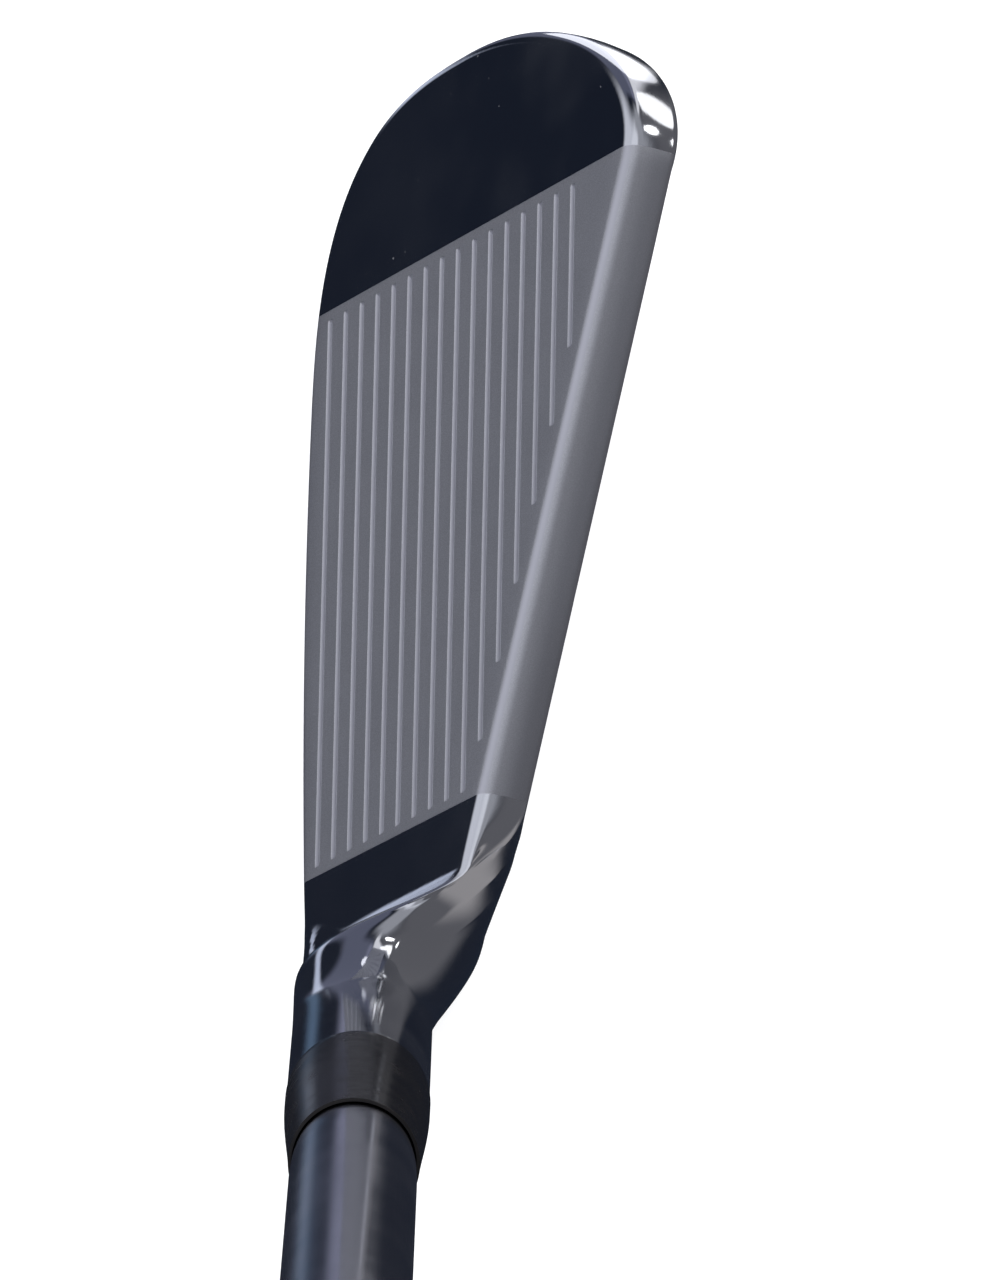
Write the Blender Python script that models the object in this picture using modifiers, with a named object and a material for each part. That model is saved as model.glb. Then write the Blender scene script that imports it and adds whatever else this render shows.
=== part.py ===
"""Iron golf club, right handed, a mid iron at its address position.

Frame: +Z up, the sole rests on z = 0.  The score lines run along Y, the toe
is at +Y and the heel at -Y.  The face looks along -X (toward the target).
The origin is the point of the sole that touches the ground under the middle
of the score lines.  Lengths below are millimetres, and MM turns them into
metres.
"""
import bpy
import bmesh
import math
from mathutils import Matrix, Vector

MM = 0.001

# ---------------------------------------------------------------- head sizes
LOFT = math.radians(31.0)          # face against the vertical
LIE = math.radians(62.6)           # shaft axis against the ground
FACE_CENTRE = (3.5, 0.0, 24.16)     # middle of the score lines on the face
AXIS_X = -3.0                      # shaft axis, x (constant, no lean)
AXIS_Y0 = -37.17                   # shaft axis, y where it meets the ground

BLADE_HEEL = -28.5                 # the blade ends here and the neck begins
TOE_PIVOT = 20.0                   # the round toe starts here
TOE_REACH = 26.5                   # toe pivot to toe tip
TOE_DROP = 24.9                    # toe pivot to leading edge
TOE_POWER = 2.85                   # squareness of the lower toe
EDGE_CAMBER = 0.0011               # curve of the leading edge along the blade
EDGE_CAMBER_Y = 2.0
TOP_PEAK = (30.9, 26.4)            # top line at the toe, (up the face, y)
TOP_SLOPE = 0.425                  # rise of the top line per mm of y
TOE_TIP_PULL = 17.0                # handle lengths of the upper toe curve
PEAK_PULL = 9.5

GROOVES = 16
GROOVE_PITCH = 2.89
GROOVE_WIDTH = 0.85
GROOVE_FLOOR = 0.45
GROOVE_DEPTH = 0.42
GROOVE_REACH = 27.1                # half length of a full score line
GROOVE_TOP_GAP = 4.3               # a short score line stops this far in y
                                   # from the top line

HOSEL_R = 6.4
HOSEL_TOP = 62.0                   # along the axis from the ground
HOSEL_CHAMFER = 0.5
BORE_R = 4.95
BORE_BOTTOM = 32.3
HEEL_RADIUS = 15.0                 # outer curve of the heel
CROTCH_RADIUS = 12.0               # inner curve between top line and hosel
NECK_SPAN = 0.72                   # share of the neck that is still changing
NECK_LAG = 0.12                    # the back rounds off later than the front
FOLD_Y = -34.3                     # the flat face ends here at the hosel
FOLD_LOW = -16.0                   # below this height it ends earlier
FOLD_SPAN = 7.0
FOLD_SPAN_LOW = 3.2
FOLD_DEPTH = 5.0
FOLD_EARLY = 3.6
REAR_WAIT = 0.06                   # the back keeps its section for a while
HEEL_BOX = 0.15                    # how square the heel is in front

# --------------------------------------------------------- shaft and its kit
TIP_R = 4.7                        # 9.4 mm parallel tip inside the hosel
COLLAR_R = 5.3                     # where the shaft leaves the ferrule
LOWER_R = 5.6                      # lower run of the shaft
LOWER_AT = 104.0
BUTT_R = 7.62                      # 15.24 mm butt
SHAFT_TIP = 32.9
SHAFT_END = 934.0
FIRST_STEP = 262.0
STEPS = 11
STEP_RUN = 33.0
STEP_SLOPE = 1.2
WALL_TIP = 0.75
WALL_BUTT = 0.4

FERRULE_BOTTOM = HOSEL_TOP + 0.3
FERRULE_TOP = 94.3
FERRULE_R = 6.4
FERRULE_TOP_R = 5.8
FERRULE_GAP = 0.2

BAND_BOTTOM, BAND_TOP = 641.0, 666.0

GRIP_MOUTH = 673.0
GRIP_END = 937.5
CAP_END = 940.0
GRIP_MOUTH_R = 9.6
GRIP_BUTT_R = 13.1
TAPE_IN, TAPE_OUT = BUTT_R + 0.2, BUTT_R + 0.6
GRIP_IN = BUTT_R + 0.8
VENT_R = 2.0

ROUND = 32                         # facets round the turned pieces

# ------------------------------------------------------------ fresh scene
for ob in list(bpy.data.objects):
    bpy.data.objects.remove(ob, do_unlink=True)

scene = bpy.context.scene
club = bpy.data.collections.new("iron_golf_club")
cutters = bpy.data.collections.new("cutters")
scene.collection.children.link(club)
scene.collection.children.link(cutters)


def material(name, colour, roughness, metallic):
    mat = bpy.data.materials.new(name)
    mat.use_nodes = True
    bsdf = mat.node_tree.nodes["Principled BSDF"]
    bsdf.inputs["Base Color"].default_value = (*colour, 1.0)
    bsdf.inputs["Roughness"].default_value = roughness
    bsdf.inputs["Metallic"].default_value = metallic
    mat.diffuse_color = (*colour, 1.0)
    return mat


def node(name, mesh, mat, group=club):
    ob = bpy.data.objects.new(name, mesh)
    group.objects.link(ob)
    if mat is not None:
        ob.data.materials.append(mat)
    return ob


def cutter(ob):
    for c in list(ob.users_collection):
        c.objects.unlink(ob)
    cutters.objects.link(ob)
    ob.hide_render = True
    ob.display_type = 'WIRE'
    return ob


# --------------------------------------------------------- head coordinates
UP = (math.sin(LOFT), math.cos(LOFT))       # up the face, in (x, z)
IN = (math.cos(LOFT), -math.sin(LOFT))      # into the head, in (x, z)


def from_face(h, y, t):
    """A point h up the face, y along it and t behind it."""
    return (FACE_CENTRE[0] + h * UP[0] + t * IN[0], y,
            FACE_CENTRE[2] + h * UP[1] + t * IN[1])


def mix(a, b, f):
    return tuple(p + (q - p) * f for p, q in zip(a, b))


def ease(f):
    f = min(1.0, max(0.0, f))
    return f * f * (3.0 - 2.0 * f)


def lower_edge(y):
    """Leading edge, measured up the face, for the straight blade."""
    return -TOE_DROP + EDGE_CAMBER * (y - EDGE_CAMBER_Y) ** 2


def top_edge(y):
    return TOP_PEAK[0] + TOP_SLOPE * (y - TOP_PEAK[1])


def toe_low(f):
    """Lower toe, f from 0 at the pivot station to 1 at the toe tip."""
    a = f * math.pi / 2
    c, s = math.cos(a), math.sin(a)
    y = TOE_PIVOT + TOE_REACH * s ** (2 / TOE_POWER)
    h = -TOE_DROP * max(c, 0.0) ** (2 / TOE_POWER)
    return h + EDGE_CAMBER * (y - EDGE_CAMBER_Y) ** 2, y


def toe_high(f):
    """Upper toe from the toe tip (0) to the peak (1), one cubic curve."""
    tip = toe_low(1.0)
    slope = math.hypot(TOP_SLOPE, 1.0)
    ahead = (TOP_SLOPE / slope, 1.0 / slope)
    p = [tip, (tip[0] + TOE_TIP_PULL, tip[1]),
         (TOP_PEAK[0] + PEAK_PULL * ahead[0],
          TOP_PEAK[1] + PEAK_PULL * ahead[1]), TOP_PEAK]
    g = 1.0 - f
    w = (g ** 3, 3 * g * g * f, 3 * g * f * f, f ** 3)
    return (sum(a * q[0] for a, q in zip(w, p)),
            sum(a * q[1] for a, q in zip(w, p)))


# Section of the blade wall, one row for each place round the outline.  Each
# pair is (distance in from the outline, depth behind the face): middle of the
# wall, back edge, inner edge of the back rim, edge of the cavity floor.  Then
# the outline's extra drop, the front, wall, back and rim radii, and the floor
# radius.
WALL = {
    "sole_heel": ((3.2, 7.4), (10.8, 14.6), (13.9, 12.9), (16.3, 11.8),
                  2.1, 1.6, 24.0, 2.6, 2.0, 2.0),
    "sole":      ((3.7, 9.0), (13.2, 18.4), (20.0, 13.8), (21.4, 3.0),
                  2.1, 1.6, 28.0, 2.0, 1.2, 1.4),
    "toe_low":   ((1.6, 6.4), (6.4, 13.6), (13.2, 11.6), (14.4, 3.0),
                  0.9, 1.4, 24.0, 1.8, 1.1, 1.4),
    "toe":       ((-0.3, 3.6), (0.4, 8.2), (6.2, 8.0), (7.4, 3.0),
                  0.0, 1.2, 20.0, 1.4, 0.8, 1.2),
    "top":       ((-0.2, 2.7), (0.1, 5.4), (4.6, 5.4), (5.6, 3.0),
                  0.0, 1.9, 20.0, 1.2, 0.7, 1.0),
    "top_heel":  ((-0.2, 2.8), (0.3, 5.1), (4.4, 7.2), (8.0, 8.8),
                  0.0, 1.9, 20.0, 1.5, 2.0, 2.0),
}
CAVITY_CLOSE = (-19.0, -8.0)       # the cavity fades out between these y
SLIM_FROM = 2.0                    # the sole narrows from here to the heel


def wall_mix(a, b, f):
    wa, wb = WALL[a], WALL[b]
    out = []
    for p, q in zip(wa, wb):
        out.append(mix(p, q, f) if isinstance(p, tuple) else p + (q - p) * f)
    return out


def fillet(points, radii, steps):
    """Round the inner corners of a run of points, steps[i] facets each."""
    out = []
    for i in range(1, len(points) - 1):
        p, c, q = (Vector(points[j]) for j in (i - 1, i, i + 1))
        a, b = p - c, q - c
        la, lb = a.length, b.length
        a.normalize()
        b.normalize()
        half = a.angle(b) / 2
        n = steps[i - 1]
        cut = radii[i - 1] / math.tan(half) if half < math.pi / 2 - 1e-4 else 0
        cut = min(cut, 0.46 * la, 0.46 * lb)
        r = cut * math.tan(half)
        start, end = c + a * cut, c + b * cut
        if cut < 1e-6:
            out += [tuple(start)] * (n + 1)
            continue
        mid = c + (a + b).normalized() * (r / math.sin(half))
        v0, v1 = start - mid, end - mid
        sweep = math.atan2(v0.x * v1.y - v0.y * v1.x, v0.dot(v1))
        for k in range(n + 1):
            s = sweep * k / n
            ca, sa = math.cos(s), math.sin(s)
            out.append((mid.x + v0.x * ca - v0.y * sa,
                        mid.y + v0.x * sa + v0.y * ca))
    return out


def column(outline, inward, spine, spine_depth, wall, steps):
    """Half section from the face spine over the wall to the back spine."""
    mid, back, rim, floor, drop, rf, rw, rb, rr, rfl = wall
    oh, oy = outline[0] - inward[0] * drop, outline[1] - inward[1] * drop
    reach = (spine[0] - oh) * inward[0] + (spine[1] - oy) * inward[1]
    run = [(reach, 0.0), (0.0, 0.0), mid, back, rim, floor,
           (reach, spine_depth)]
    pts = fillet(run, (rf, rw, rb, rr, rfl), steps)
    return [from_face(oh + inward[0] * d, oy + inward[1] * d, t)
            for d, t in pts]


def spine_height(y):
    f = (y - BLADE_HEEL) / (TOE_PIVOT - BLADE_HEEL)
    return -8.4 + f * 9.7


def blade(stations, fan, steps):
    """Columns round the blade, from the heel sole by the toe to the top."""
    ys = [BLADE_HEEL + (TOE_PIVOT - BLADE_HEEL) * i / stations
          for i in range(stations + 1)]
    heel_back = 11.4

    def depth(y):
        return heel_back + (3.0 - heel_back) * ease(
            (y - CAVITY_CLOSE[0]) / (CAVITY_CLOSE[1] - CAVITY_CLOSE[0]))

    def close(y):
        return 1.0 - ease((y - CAVITY_CLOSE[0]) /
                          (CAVITY_CLOSE[1] - CAVITY_CLOSE[0]))

    cols = []
    for y in ys:
        wall = wall_mix("sole", "sole_heel", close(y))
        slim = wall_mix("sole", "sole_heel",
                        ease((y - SLIM_FROM) / (BLADE_HEEL - SLIM_FROM)))
        wall[0:2] = slim[0:2]
        cols.append(column((lower_edge(y), y), (1.0, 0.0),
                           (spine_height(y), y), depth(y), wall, steps))
    pivot = (spine_height(TOE_PIVOT), TOE_PIVOT)
    top_y = [TOE_PIVOT + (TOP_PEAK[1] - TOE_PIVOT) * i / 3 for i in (2, 1)]
    places = [("low", (k + 1) / fan) for k in range(fan)]
    places += [("high", (k + 1) / fan) for k in range(fan)]
    places += [("line", y) for y in top_y]
    for kind, f in places:
        if kind == "low":
            p = toe_low(f)
            n = Vector(toe_low(min(1.0, f + 0.002))) - Vector(
                toe_low(f - 0.002))
            name = ("sole", "toe_low", min(1.0, f / 0.55)) if f < 0.55 else (
                "toe_low", "toe", ease((f - 0.55) / 0.45))
            turn = ease(f / 0.3)
        elif kind == "high":
            p = toe_high(f)
            n = Vector(toe_high(min(1.0, f + 0.002))) - Vector(
                toe_high(max(0.0, f - 0.002)))
            name = ("toe", "top", f)
            turn = 1.0
        else:
            p = (top_edge(f), f)
            n = Vector((-TOP_SLOPE, -1.0))
            name = ("top", "top", 0.0)
            turn = (f - TOE_PIVOT) / (TOP_PEAK[1] - TOE_PIVOT)
        n.normalize()
        inward = Vector((n.y, -n.x)) if kind == "low" else Vector(
            (n.y, -n.x))
        if inward.dot(Vector(pivot) - Vector(p)) < 0:
            inward = -inward
        upright = Vector((1.0 if kind == "low" else -1.0, 0.0))
        inward = (upright * (1 - turn) + inward * turn).normalized()
        cols.append(column(p, tuple(inward), pivot, 3.0, wall_mix(*name),
                           steps))
    for y in reversed(ys):
        wall = wall_mix("top", "top_heel", close(y))
        cols.append(column((top_edge(y), y), (-1.0, 0.0),
                           (spine_height(y), y), depth(y), wall, steps))
    front = [from_face(spine_height(y), y, 0.0) for y in ys]
    rear = [from_face(spine_height(y), y, depth(y)) for y in ys]
    return cols, front, rear


def path(corners, radius, counts):
    """Points along start - arc - end in the (y, z) plane."""
    a, c, b = (Vector(p) for p in corners)
    u, v = (a - c).normalized(), (b - c).normalized()
    half = u.angle(v) / 2
    cut = radius / math.tan(half)
    start, end = c + u * cut, c + v * cut
    out = [a.lerp(start, i / counts[0]) for i in range(1, counts[0] + 1)]
    mid = c + (u + v).normalized() * (radius / math.sin(half))
    v0, v1 = start - mid, end - mid
    sweep = math.atan2(v0.x * v1.y - v0.y * v1.x, v0.dot(v1))
    for k in range(1, counts[1] + 1):
        out.append(mid + Matrix.Rotation(sweep * k / counts[1], 2) @ v0)
    out += [end.lerp(b, i / counts[2]) for i in range(1, counts[2] + 1)]
    return out


def meet(p, d, q, e):
    """Crossing of two lines in the plane."""
    det = d[0] * e[1] - d[1] * e[0]
    s = ((q[0] - p[0]) * e[1] - (q[1] - p[1]) * e[0]) / det
    return (p[0] + d[0] * s, p[1] + d[1] * s)


def head_mesh(stations, fan, steps, neck, ring_rows):
    cols, front, rear = blade(stations, fan, steps)
    rows = len(cols[0])
    verts, faces = [], []

    def add(p):
        verts.append(p)
        return len(verts) - 1

    col_i = [[add(p) for p in c] for c in cols]
    front_i = [add(p) for p in front]
    rear_i = [add(p) for p in rear]
    last = len(cols) - 1
    for c in range(last):
        a, b = col_i[c], col_i[c + 1]
        for m in range(rows - 1):
            faces.append((a[m], b[m], b[m + 1], a[m + 1]))
        if c < stations:
            fa, fb, ra, rb = (front_i[c], front_i[c + 1],
                              rear_i[c], rear_i[c + 1])
        elif c >= last - stations:
            k = last - c
            fa, fb, ra, rb = (front_i[k], front_i[k - 1],
                              rear_i[k], rear_i[k - 1])
        else:
            fa = fb = front_i[stations]
            ra = rb = rear_i[stations]
        faces.append((fa, fb, b[0], a[0]) if fa != fb else (fa, b[0], a[0]))
        faces.append((rb, ra, a[-1], b[-1]) if ra != rb else
                     (ra, a[-1], b[-1]))

    # Neck: the closed blade section turns into the round hosel.
    loop = ([front_i[0]] + col_i[0] + [rear_i[0]] + col_i[last][::-1])
    sec = [verts[i] for i in loop]
    n = len(sec)
    zs = [p[2] for p in sec]
    lo, hi = zs.index(min(zs)), zs.index(max(zs))
    zb, zt = zs[lo], zs[hi]
    order = [(lo + i) % n for i in range(n)]
    run = [0.0]
    for i in range(n):
        p, q = sec[order[i]], sec[order[(i + 1) % n]]
        run.append(run[-1] + math.hypot(p[0] - q[0], p[2] - q[2]))
    k_hi = order.index(hi)
    turn = [0.0] * n
    for k in range(n):
        if k <= k_hi:
            turn[order[k]] = math.pi * run[k] / run[k_hi]
        else:
            turn[order[k]] = math.pi * (1 + (run[k] - run[k_hi]) /
                                        (run[n] - run[k_hi]))
    even = [0.0] * n
    for k in range(n):
        even[order[k]] = 2 * math.pi * k / n
    # walking from the bottom up the back (or the face) to the top
    side = 1.0 if sec[order[k_hi // 2]][0] > sec[order[
        (k_hi + n) // 2 % n]][0] else -1.0
    axis = (-math.cos(LIE), math.sin(LIE))
    across = (math.sin(LIE), math.cos(LIE))
    foot = (AXIS_Y0, 0.0)

    def on_axis(t, off):
        return (foot[0] + axis[0] * t + across[0] * off,
                foot[1] + axis[1] * t + across[1] * off)

    e = 0.5
    lower_dir = (-1.0, (min(p[2] for p in cols[0]) -
                        min(p[2] for p in cols[1])) /
                 (cols[1][0][1] - cols[0][0][1]) + 0.03)
    upper_dir = (-1.0, -TOP_SLOPE * UP[1])
    start_b, start_t = (BLADE_HEEL, zb), (BLADE_HEEL, zt)
    end_b, end_t = on_axis(HOSEL_TOP - e, -HOSEL_R), on_axis(
        HOSEL_TOP - e, HOSEL_R)
    corner_b = meet(start_b, lower_dir, end_b, axis)
    corner_t = meet(start_t, upper_dir, end_t, axis)
    low = path((start_b, corner_b, end_b), HEEL_RADIUS, neck)
    top = path((start_t, corner_t, end_t), CROTCH_RADIUS, neck)
    slope = math.tan(LOFT)
    rings = []
    total = neck[0] + neck[1]
    deep = [(p[0] - FACE_CENTRE[0]) * IN[0] + (p[2] - FACE_CENTRE[2]) * IN[1]
            for p in sec]
    up = [(p[0] - FACE_CENTRE[0]) * UP[0] + (p[2] - FACE_CENTRE[2]) * UP[1]
          for p in sec]
    for k, (b, t) in enumerate(zip(low, top), 1):
        ring = []
        g = ease(k / total)
        for i in range(n):
            a = turn[i] + (even[i] - turn[i]) * g
            rear_side = side * math.sin(a)
            lag = max(0.0, rear_side)
            w = ease((k / total - REAR_WAIT * lag) / (
                NECK_SPAN + NECK_LAG * rear_side - REAR_WAIT * lag))
            # the front of the heel stays full where it meets the sole
            boxy = 1.0
            if rear_side < 0 and math.cos(a) > 0:
                boxy = HEEL_BOX + (1.0 - HEEL_BOX) * ease(k / total / 0.95)
            q0 = (sec[i][2] - zb) / (zt - zb)
            y0 = b.x + (t.x - b.x) * q0
            z = b.y + (t.y - b.y) * q0
            # the flat face runs on to the fold, then turns up the hosel
            low_end = ease((FOLD_LOW - up[i]) / 7.0)
            late = ease((FOLD_Y + FOLD_EARLY * low_end - y0) / (
                FOLD_SPAN + (FOLD_SPAN_LOW - FOLD_SPAN) * low_end))
            w += (late - w) * (1.0 - ease((deep[i] - 0.2) / FOLD_DEPTH))
            x0 = sec[i][0] + slope * (z - sec[i][2])
            q1 = 0.5 - 0.5 * math.cos(a)
            x1 = AXIS_X + math.copysign(
                HOSEL_R * abs(math.sin(a)) ** boxy, side * math.sin(a))
            q = q0 + (q1 - q0) * w
            x = x0 + (x1 - x0) * w
            ring.append((x, b.x + (t.x - b.x) * q, b.y + (t.y - b.y) * q))
        rings.append([add(p) for p in ring])

    def round_ring(t, r):
        c = on_axis(t, 0.0)
        out = []
        for i in range(n):
            off = -r * math.cos(even[i])
            out.append(add((AXIS_X + side * r * math.sin(even[i]),
                            c[0] + across[0] * off, c[1] + across[1] * off)))
        return out

    rings.append(round_ring(HOSEL_TOP, HOSEL_R - HOSEL_CHAMFER))
    rings.append(round_ring(HOSEL_TOP, BORE_R + 0.45))
    rings.append(round_ring(HOSEL_TOP - 0.5, BORE_R))
    for k in range(1, ring_rows + 1):
        rings.append(round_ring(HOSEL_TOP - 0.5 + (BORE_BOTTOM - HOSEL_TOP +
                                                   0.5) * k / ring_rows,
                                BORE_R))
    rings = [loop] + rings
    for a, b in zip(rings, rings[1:]):
        for i in range(n):
            j = (i + 1) % n
            faces.append((a[i], a[j], b[j], b[i]))
    c = on_axis(BORE_BOTTOM - 1.5, 0.0)
    tip = add((AXIS_X, c[0], c[1]))
    for i in range(n):
        faces.append((rings[-1][i], rings[-1][(i + 1) % n], tip))
    return verts, faces


def mesh_from(name, verts, faces, sharp=30.0):
    me = bpy.data.meshes.new(name)
    me.from_pydata([tuple(c * MM for c in v) for v in verts], [], faces)
    bm = bmesh.new()
    bm.from_mesh(me)
    bmesh.ops.remove_doubles(bm, verts=bm.verts, dist=1e-6)
    bmesh.ops.recalc_face_normals(bm, faces=bm.faces)
    bm.to_mesh(me)
    bm.free()
    me.shade_smooth()
    me.set_sharp_from_angle(angle=math.radians(sharp))
    return me


# ------------------------------------------------------------- materials
steel = material("head_steel", (0.50, 0.50, 0.53), 0.18, 1.0)
tungsten = material("tungsten", (0.30, 0.30, 0.31), 0.35, 1.0)
shaft_steel = material("shaft_chrome", (0.62, 0.62, 0.68), 0.10, 1.0)
brass = material("brass", (0.66, 0.50, 0.22), 0.35, 1.0)
black_plastic = material("ferrule_plastic", (0.012, 0.012, 0.014), 0.22, 0.0)
rubber = material("grip_rubber", (0.022, 0.022, 0.024), 0.75, 0.0)
cap_rubber = material("cap_rubber", (0.030, 0.030, 0.033), 0.60, 0.0)
tape = material("grip_tape", (0.62, 0.58, 0.48), 0.80, 0.0)
elastomer = material("damper_elastomer", (0.05, 0.05, 0.055), 0.70, 0.0)
nickel = material("badge_nickel", (0.40, 0.41, 0.43), 0.30, 1.0)
enamel = material("badge_enamel", (0.03, 0.05, 0.12), 0.30, 0.0)
foil = material("shaft_foil", (0.10, 0.12, 0.20), 0.30, 0.6)

# ------------------------------------------------------------------ head
verts, faces = head_mesh(stations=8, fan=10, steps=(3, 2, 3, 1, 1),
                         neck=(4, 9, 2), ring_rows=1)
head = node("head_body", mesh_from("head_body", verts, faces), steel)


def prism(name, outline_h, y0, y1):
    """A bar along Y with a section given as (h, t) pairs."""
    bm = bmesh.new()
    ends = []
    for y in (y0, y1):
        ends.append([bm.verts.new([c * MM for c in from_face(h, y, t)])
                     for h, t in outline_h])
    m = len(outline_h)
    bm.faces.new(ends[0])
    bm.faces.new(ends[1][::-1])
    for i in range(m):
        j = (i + 1) % m
        bm.faces.new((ends[0][j], ends[0][i], ends[1][i], ends[1][j]))
    bmesh.ops.recalc_face_normals(bm, faces=bm.faces)
    me = bpy.data.meshes.new(name)
    bm.to_mesh(me)
    bm.free()
    return me


def groove_span(k):
    h = (k - (GROOVES - 1) / 2) * GROOVE_PITCH
    heel = TOP_PEAK[1] + (h + 0.9 - TOP_PEAK[0]) / TOP_SLOPE + GROOVE_TOP_GAP
    return h, max(-GROOVE_REACH, heel), GROOVE_REACH


for k in range(GROOVES):
    h, y0, y1 = groove_span(k)
    w, f = GROOVE_WIDTH / 2, GROOVE_FLOOR / 2
    lift = 0.3
    wide = w + (w - f) * lift / GROOVE_DEPTH
    me = prism("score_line_%02d" % (k + 1),
               [(h - wide, -lift), (h + wide, -lift),
                (h + f, GROOVE_DEPTH), (h - f, GROOVE_DEPTH)], y0, y1)
    bar = cutter(node("cut_score_line_%02d" % (k + 1), me, None))
    mod = head.modifiers.new("score_line_%02d" % (k + 1), 'BOOLEAN')
    mod.operation = 'DIFFERENCE'
    mod.solver = 'EXACT'
    mod.object = bar

# ------------------------------------------- toe weight in the back muscle
WEIGHT_Y = 25.0
WEIGHT_H = -10.8
WEIGHT_R = 2.5
WEIGHT_FLOOR = 6.2                 # depth of the pocket floor behind the face
WEIGHT_TOP = 13.2                  # outer end of the weight
WEIGHT_OUT = 17.0                  # clear of the back surface


def rod(name, r, h, y, t0, t1, segs, mat, group):
    bm = bmesh.new()
    bmesh.ops.create_cone(bm, cap_ends=True, segments=segs, radius1=r * MM,
                          radius2=r * MM, depth=(t1 - t0) * MM)
    me = bpy.data.meshes.new(name)
    bm.to_mesh(me)
    bm.free()
    ob = node(name, me, mat, group)
    ob.location = [c * MM for c in from_face(h, y, (t0 + t1) / 2)]
    ob.rotation_euler = (0.0, math.pi / 2 + LOFT, 0.0)
    return ob


pocket = cutter(rod("cut_weight_pocket", WEIGHT_R + 0.3, WEIGHT_H, WEIGHT_Y,
                    WEIGHT_FLOOR, WEIGHT_OUT + 6.0, 24, None, cutters))
mod = head.modifiers.new("weight_pocket", 'BOOLEAN')
mod.operation = 'DIFFERENCE'
mod.solver = 'EXACT'
mod.object = pocket


weight = rod("toe_weight", WEIGHT_R, WEIGHT_H, WEIGHT_Y, WEIGHT_FLOOR + 0.3,
             WEIGHT_TOP, 24, tungsten, club)
slot = cutter(rod("cut_weight_drive", 1.4, WEIGHT_H, WEIGHT_Y,
                  WEIGHT_TOP - 1.6, WEIGHT_TOP + 2.0, 6, None, cutters))
mod = weight.modifiers.new("drive", 'BOOLEAN')
mod.operation = 'DIFFERENCE'
mod.solver = 'EXACT'
mod.object = slot


# ------------------------------------------------------ pieces of the badge
def cavity_outline(inset, stations, fan):
    """Outline of the cavity floor, moved in by inset, as (h, y) pairs."""
    pts = []
    heel = -6.0
    for i in range(stations + 1):
        y = heel + (TOE_PIVOT - heel) * i / stations
        pts.append((lower_edge(y) - 2.1 + 21.4 + inset, y))
    for k in range(1, 2 * fan):
        if k < fan:
            f = k / fan
            p = toe_low(f)
            q = toe_low(min(1.0, f + 0.002))
            r = toe_low(f - 0.002)
            w = (wall_mix("sole", "toe_low", min(1.0, f / 0.55))
                 if f < 0.55 else
                 wall_mix("toe_low", "toe", ease((f - 0.55) / 0.45)))
            turn = ease(f / 0.3)
            up = 1.0
        else:
            f = k / fan - 1.0
            p = toe_high(f)
            q = toe_high(min(1.0, f + 0.002))
            r = toe_high(max(0.0, f - 0.002))
            w = wall_mix("toe", "top", f)
            turn = 1.0
            up = -1.0
        d = (Vector(q) - Vector(r)).normalized()
        n = Vector((d.y, -d.x))
        if n.dot(Vector((spine_height(TOE_PIVOT), TOE_PIVOT)) -
                 Vector(p)) < 0:
            n = -n
        n = (Vector((up, 0.0)) * (1 - turn) + n * turn).normalized()
        reach = w[3][0] - w[4] + inset
        pts.append((p[0] + n.x * reach, p[1] + n.y * reach))
    for i in range(stations + 1):
        y = TOE_PIVOT - (TOE_PIVOT - heel) * i / stations
        pts.append((top_edge(y) - 5.6 - inset * 1.1, y))
    return [p for p in pts if p[1] < 40]


def plate(name, outline, t0, t1, mat):
    bm = bmesh.new()
    lower = [bm.verts.new([c * MM for c in from_face(h, y, t0)])
             for h, y in outline]
    upper = [bm.verts.new([c * MM for c in from_face(h, y, t1)])
             for h, y in outline]
    bm.faces.new(lower)
    bm.faces.new(upper[::-1])
    m = len(outline)
    for i in range(m):
        j = (i + 1) % m
        bm.faces.new((lower[j], lower[i], upper[i], upper[j]))
    bmesh.ops.recalc_face_normals(bm, faces=bm.faces)
    me = bpy.data.meshes.new(name)
    bm.to_mesh(me)
    bm.free()
    return node(name, me, mat)


plate("cavity_damper", cavity_outline(2.0, 5, 6), 3.3, 4.0, elastomer)
plate("cavity_badge", cavity_outline(2.4, 5, 6), 4.3, 5.1, nickel)


# ---------------------------------------------------------- turned pieces
def turned(name, profile, mat, closed=True, segs=ROUND):
    """A profile of (radius, height along the shaft axis), down its outer
    side first, turned about the shaft axis."""
    me = bpy.data.meshes.new(name)
    m = len(profile)
    edges = [(i, i + 1) for i in range(m - 1)]
    if closed:
        edges.append((m - 1, 0))
    me.from_pydata([(r * MM, 0.0, t * MM) for r, t in profile], edges, [])
    ob = node(name, me, mat)
    mod = ob.modifiers.new("turn", 'SCREW')
    mod.axis = 'Z'
    mod.angle = 2 * math.pi
    mod.steps = segs
    mod.render_steps = segs
    mod.screw_offset = 0.0
    mod.use_merge_vertices = True
    mod.merge_threshold = 0.000001
    mod.use_normal_calculate = False
    mod.use_smooth_shade = True
    ob.location = (AXIS_X * MM, AXIS_Y0 * MM, 0.0)
    ob.rotation_euler = (math.pi / 2 - LIE, 0.0, 0.0)
    return ob


def shaft_radius(k):
    return LOWER_R + (BUTT_R - LOWER_R) * k / STEPS


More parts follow.
